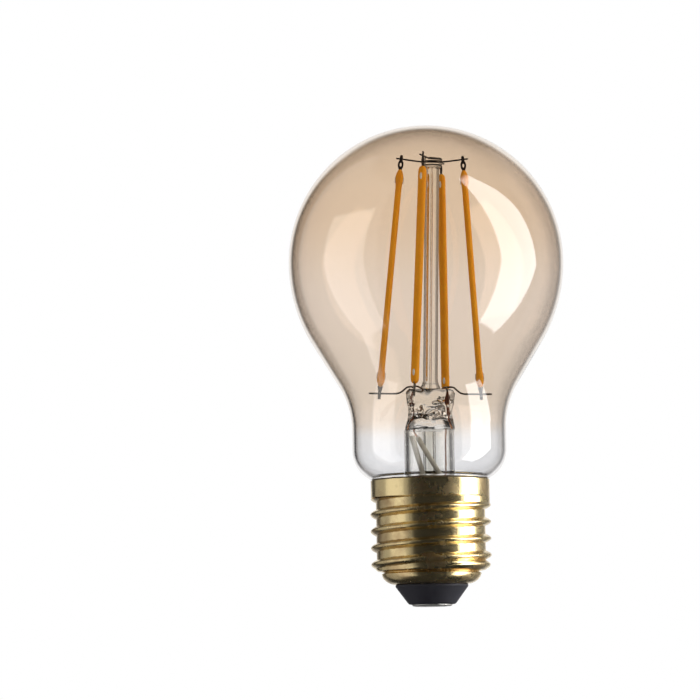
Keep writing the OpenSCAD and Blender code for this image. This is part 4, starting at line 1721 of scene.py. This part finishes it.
@dataclass
class ScrewCap:
    """The pressed brass shell with its rolled thread, the insulator, the contact and the cement."""

    thread_d: float = 26.2
    thread_depth: float = 1.25
    pitch: float = 3.629
    ridge_share: float = 0.52
    first_crest_z: float = 9.2
    collar_inset: float = 0.2
    collar_h: float = 3.9
    wall: float = 0.3
    bowl_top_z: float = 7.4
    insulator_d: float = 15.8
    insulator_h: float = 4.3
    contact_d: float = 8.8
    contact_h: float = 0.5
    segments: int = 264

    def __post_init__(self) -> None:
        """Works out the radii that several pieces share."""
        self.root_r = self.thread_d / 2 - self.thread_depth
        self.collar_r = self.thread_d / 2 - self.collar_inset
        self.rim_z = box_mm("screw_shell")[1].z
        self.foot_z = box_mm("screw_shell")[0].z
        self.collar_z = self.rim_z - self.collar_h
        self.bowl_top_r = self.root_r - 1.0
        self.foot_r = self.insulator_d / 2 - 0.35

    def sheet_line(self, inset: float, rows: int) -> Outline:
        """One side of the sheet, from the foot to the rim, before the thread is rolled.

        Args:
            inset: how far inside the outer side.
            rows: how many rows the threaded part has.

        Returns:
            The outline.
        """
        turns = np.radians(np.linspace(0, 90, 13))
        bowl = [
            (
                self.foot_r + (self.bowl_top_r - self.foot_r - inset) * math.sin(a),
                self.bowl_top_z - (self.bowl_top_z - self.foot_z - inset) * math.cos(a),
            )
            for a in turns
        ]
        groove = eased(
            [(self.bowl_top_r - inset, self.bowl_top_z - 0.25),
             (self.bowl_top_r - 0.7 - inset, self.bowl_top_z + 0.12),
             (self.root_r - inset, self.bowl_top_z + 0.42),
             (self.root_r - inset, self.bowl_top_z + 0.8)], 0.22, 3,
        )
        low, high = self.bowl_top_z + 0.85, self.collar_z - 0.12
        threaded = [(self.root_r - inset, z) for z in np.linspace(low, high, rows)]
        collar = eased(
            [(self.root_r - inset, high + 0.03),
             (self.collar_r - inset, self.collar_z + 0.1),
             (self.collar_r - inset, self.collar_z + 1.2),
             (self.collar_r - inset, self.rim_z - 0.5)], 0.16, 3,
        )
        return [*bowl[:-1], *groove, *threaded, *collar]

    def shell(self) -> None:
        """The shell: a turned sheet with a rolled lip, and the thread raised on it."""
        lip_r = self.collar_r - self.wall / 2 - 0.02
        lip = arc((lip_r, self.rim_z - 0.2), self.wall / 2 + 0.05, 0, 180, 8)
        outline = [
            *self.sheet_line(0.0, 170), *lip, *reversed(self.sheet_line(self.wall, 44)),
        ]
        base = turned("cap_shell", outline, self.segments, looped=True)
        shell = THREAD.run(
            base, Slot.CAP_BRASS, Pitch=self.pitch * MM, Depth=self.thread_depth * MM,
            Ridge_Share=self.ridge_share, First_Crest=self.first_crest_z * MM,
            Thread_Foot=(self.bowl_top_z + 1.0) * MM,
            Thread_Top=(self.collar_z - 0.1) * MM, Last_Turn=3.0,
            Collar_Reach=self.collar_r * MM, Fill_Top=(self.collar_z + 0.3) * MM,
        )
        hand_over(shell, Slot.CAP_BRASS, "screw_shell")

    def insulator(self) -> None:
        """The black glass cone between shell and contact."""
        r, foot, top = self.insulator_d / 2, self.contact_h, self.contact_h + self.insulator_h
        outline = eased(
            [(1.2, foot), (self.contact_d / 2 + 0.6, foot), (self.contact_d / 2 + 0.9, foot + 0.3),
             (r - 0.12, top - 0.62), (r, top - 0.5), (r, top - 0.02), (self.foot_r - 0.25, top - 0.02),
             (self.foot_r - 0.25, top + 0.5), (self.foot_r - 0.25, top + 3.5), (1.2, top + 3.5)],
            0.22,
        )
        piece = turned("cap_insulator_glass", outline, 96, looped=True)
        hand_over(piece, Slot.INSULATOR, "cap_insulator")

    def contact(self) -> None:
        """The contact disc, with a soft edge and a low crown of solder in its middle."""
        r, t = self.contact_d / 2, self.contact_h
        outline = eased(
            [(0.0, 0.0), (1.5, 0.0), (r - 0.9, 0.02), (r - 0.25, 0.1), (r, 0.3), (r, t),
             (1.1, t), (1.1, 6.0), (0.0, 6.0)], 0.15,
        )
        piece = turned("contact_disc", outline, 72)
        hand_over(piece, Slot.CONTACT, "centre_contact")

    def cement(self) -> None:
        """The cement that has crept up between the rim and the glass, lumpy along its edge."""
        outer = self.collar_r - self.wall - 0.03
        inner = box_mm("flare_tube")[1].x + 0.02
        sides = 180
        rings = []
        for radius, lift in (
            (inner, -2.2), (outer, -2.2), (outer, 0.3), (outer - 0.15, 0.55), (inner, 0.45),
        ):
            ring = []
            for a in 2 * math.pi * np.arange(sides) / sides:
                seed = Vector((math.cos(a) * 3.2, math.sin(a) * 3.2, 4.4))
                lumps = 0.2 * noise.noise(seed) + 0.1 * noise.noise(seed * 3)
                crept = 0.0 if lift < -1 else lumps
                ring.append((radius * math.cos(a), radius * math.sin(a), self.rim_z + lift + crept))
            rings.append(ring)
        points = np.concatenate([np.array(r) for r in rings])
        index = [list(range(i * sides, (i + 1) * sides)) for i in range(len(rings))]
        faces = ring_faces([*zip(index, index[1:]), (index[-1], index[0])])
        hand_over(mesh_object("rim_cement", points, faces), Slot.CEMENT, "basing_cement")

    def build(self) -> None:
        """Builds the cap."""
        self.shell()
        self.insulator()
        self.contact()
        self.cement()


@dataclass
class Driver:
    """The driver in the cap, as the frame has it, in its finishes."""

    finishes: dict[Slot, tuple[str, ...]] = field(default_factory=lambda: {
        Slot.BOARD: ("driver_board",),
        Slot.EPOXY: ("bridge_rectifier", "driver_chip"),
        Slot.CAPACITOR: ("smoothing_capacitor",),
        Slot.FERRITE: ("choke_core",),
        Slot.WINDING: ("choke_winding",),
        Slot.RESISTOR: ("fuse_resistor",),
        Slot.WIRELESS: ("wireless_board",),
        Slot.SHIELD: ("wireless_chip",),
        Slot.CHIP: ("chip_components",),
        Slot.SOLDER: ("board_solder",),
        Slot.LIVE: ("live_wire",),
        Slot.COPPER: ("neutral_wire",),
    })

    def build(self) -> None:
        """Dresses the driver's pieces."""
        for slot, nodes in self.finishes.items():
            redress(slot, *nodes)


# ---------------------------------------------------------------- the studio


class Surround:
    """All that the bulb mirrors and lets through: a white backdrop and tall boxes of light.

    A direction is a turn in degrees from the viewer's side, positive to the right, and a rise,
    the sine of its height. The boxes' sides slant with the rise, and differently below the
    horizon, so that they stand as they should in the round glass.
    """

    SIDE_SOFT = 1.0
    END_SOFT = 0.02

    def __init__(self, tree: bpy.types.NodeTree) -> None:
        """Reads the direction and the kind of ray.

        Args:
            tree: the world's node tree.
        """
        place = tree.nodes.new("ShaderNodeTexCoord")
        parts = add_node(tree, "ShaderNodeSeparateXYZ", Vector=place.outputs["Generated"])
        x, y, self.rise = (Field(tree, parts.outputs[i]) for i in range(3))
        self.turn = x.lay("ARCTAN2", x, y * -1.0) * (180 / math.pi)
        self.dip = (self.rise * -1.0).largest(0.0)
        path = tree.nodes.new("ShaderNodeLightPath")
        self.seen, self.through, self.matt = (
            Field(tree, path.outputs[f"Is {kind} Ray"])
            for kind in ("Camera", "Transmission", "Diffuse")
        )
        self.straight = self.through * Field(tree, path.outputs["Glossy Depth"]).below(0.5)

    def slanted(self, slant: float, dip_slant: float) -> Field:
        """The turn, set right for a side that slants.

        Args:
            slant: how many degrees the side moves in over the full rise.
            dip_slant: how many more it moves in below the horizon.

        Returns:
            The turn as if the side stood upright.
        """
        return self.turn + self.rise * slant + self.dip * dip_slant

    def right_box(self) -> Field:
        """The tall box at the right, whose outer side bends in towards its top."""
        bend = (self.rise - 0.45).largest(0.0)
        inner = self.slanted(12.0, 20.0).beyond(66.0, self.SIDE_SOFT)
        outer = (self.slanted(15.0, 43.0) + bend * bend * 90.0).short_of(105.5, self.SIDE_SOFT)
        return inner * outer * self.rise.window(-0.67, 0.886, self.END_SOFT)

    def left_box(self) -> Field:
        """The tall box at the left, whose top falls away outwards."""
        outer = self.slanted(-5.0, -21.0).beyond(-96.0, self.SIDE_SOFT)
        inner = self.slanted(-5.0, -10.0).short_of(-54.0, self.SIDE_SOFT)
        top = (self.rise - self.turn * 0.0039).short_of(0.84, self.END_SOFT)
        return inner * outer * top * self.rise.beyond(-0.73, self.END_SOFT)

    def level(self, outside: float, inside: float) -> Field:
        """How bright a light is, for what mirrors it from outside and from inside the glass."""
        return self.through * (inside - outside) + outside

    def light(self) -> Field:
        """How bright each direction is.

        Returns:
            The strength for the world's background.
        """
        right, left = self.right_box(), self.left_box()
        wash = self.turn.window(-134, -42, 3.0) * self.rise.window(-0.76, 0.88, 0.04)
        behind = self.turn.magnitude().rise(152, 163) * self.rise.window(-0.3, 0.52, 0.12)
        flank = self.turn.window(107, 156, 3.0) * self.rise.window(-0.7, 0.7, 0.1)
        mirrored = (
            right * self.level(7.0, 1.3) + left * self.level(0.55, 2.15)
            + wash * self.level(0.38, 0.18) + behind + flank * 0.24 + 0.03
        )
        spread = right * 2.2 + left * 0.3 + 0.42
        sides = self.turn.magnitude().window(106, 153, 5.0)
        poles = 1.0 - self.rise.window(-0.42, 0.52, 0.12)
        clear = 1.0 - sides.largest(poles) * 0.6
        studio = (
            mirrored * (1.0 - self.matt) * (1.0 - self.straight) + spread * self.matt
            + clear * self.straight
        )
        return studio * (1.0 - self.seen) + self.seen


@dataclass
class Studio:
    """The glowing floor, the soft light all round and the camera."""

    distance: float = 1.0
    camera_z: float = -0.028
    lens: float = 236.7
    beside: float = 0.0169
    aim_z: float = 0.0562
    roll: float = -1.0
    floor_w: float = 0.24
    floor_front: float = 3.0
    floor_back: float = 8.0

    def floor(self) -> None:
        """A floor that glows rather than being lit: emission gives its light, faint within 0.08 m of
        the bulb's front and back and full beyond 0.13 m; the camera never sees it.
        """
        w, near, far = self.floor_w / 2, -self.floor_front, self.floor_back
        mesh = bpy.data.meshes.new("floor")
        corner = [(-w, near, 0), (w, near, 0), (w, far, 0), (-w, far, 0)]
        mesh.from_pydata(corner, [], [(0, 1, 2, 3)])
        floor = bpy.data.objects.new("floor", mesh)
        bpy.context.scene.collection.objects.link(floor)
        sheet = MaterialSheet("floor_glow")
        place = sheet.tree.nodes.new("ShaderNodeTexCoord")
        parts = add_node(sheet.tree, "ShaderNodeSeparateXYZ", Vector=place.outputs["Object"])
        away = Field(sheet.tree, parts.outputs["Y"]).magnitude().rise(0.08, 0.13)
        # Painted light: the floor glows instead of being lit, and glows faintly near the bulb.
        glow = away * 0.85 + 0.15
        sheet.set(
            Base_Color=(0.1, 0.1, 0.1, 1.0), Roughness=0.9,
            Emission_Color=sheet.blend(glow.source, (0.0, 0.0, 0.0), (1.0, 1.0, 1.0)),
            Emission_Strength=1.0,
        )
        mesh.materials.append(sheet.material)
        floor.visible_glossy = False
        floor.visible_transmission = False
        floor.visible_camera = False

    def light(self) -> None:
        """The world: what surrounds the bulb, gathered by every ray for itself."""
        world = bpy.data.worlds.new("studio")
        bpy.context.scene.world = world
        world.use_nodes = True
        tree = world.node_tree
        background = tree.nodes["Background"]
        tree.links.new(Surround(tree).light().source, background.inputs["Strength"])
        background.inputs["Color"].default_value = (1.0, 1.0, 1.0, 1.0)
        world.cycles.sampling_method = "NONE"

    def camera(self) -> None:
        """The camera, a little below the bulb and far away, with the bulb right of its middle."""
        data = bpy.data.cameras.new("camera")
        data.lens = self.lens
        data.sensor_width = 36.0
        data.clip_start, data.clip_end = 0.05, 50.0
        camera = bpy.data.objects.new("camera", data)
        bpy.context.scene.collection.objects.link(camera)
        target = Vector((-self.beside, 0.0, self.aim_z))
        camera.location = (0.0, -self.distance, self.camera_z)
        back = (camera.location - target).normalized()
        turn = (-back).to_track_quat("-Z", "Y").to_matrix()
        camera.rotation_euler = (turn @ Matrix.Rotation(math.radians(self.roll), 3, "Z")).to_euler()
        bpy.context.scene.camera = camera

    def look(self) -> None:
        """Plain colour, and light paths long enough for glass inside glass."""
        scene = bpy.context.scene
        scene.view_settings.view_transform = "Standard"
        scene.cycles.max_bounces = 28
        scene.cycles.transmission_bounces = 28
        scene.cycles.glossy_bounces = 8
        scene.cycles.diffuse_bounces = 3

    def build(self) -> None:
        """Sets up the studio."""
        self.floor()
        self.light()
        self.camera()
        self.look()


def main() -> None:
    logging.basicConfig(level=logging.INFO, format="%(name)s: %(message)s")
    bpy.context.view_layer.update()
    Studio().build()
    axis = MountAxis()
    Envelope().build()
    Stem(axis).build()
    LeadSet(axis).build()
    for side in Side:
        Filament(side).build()
    ScrewCap().build()
    Driver().build()


if __name__ == "__main__":
    main()
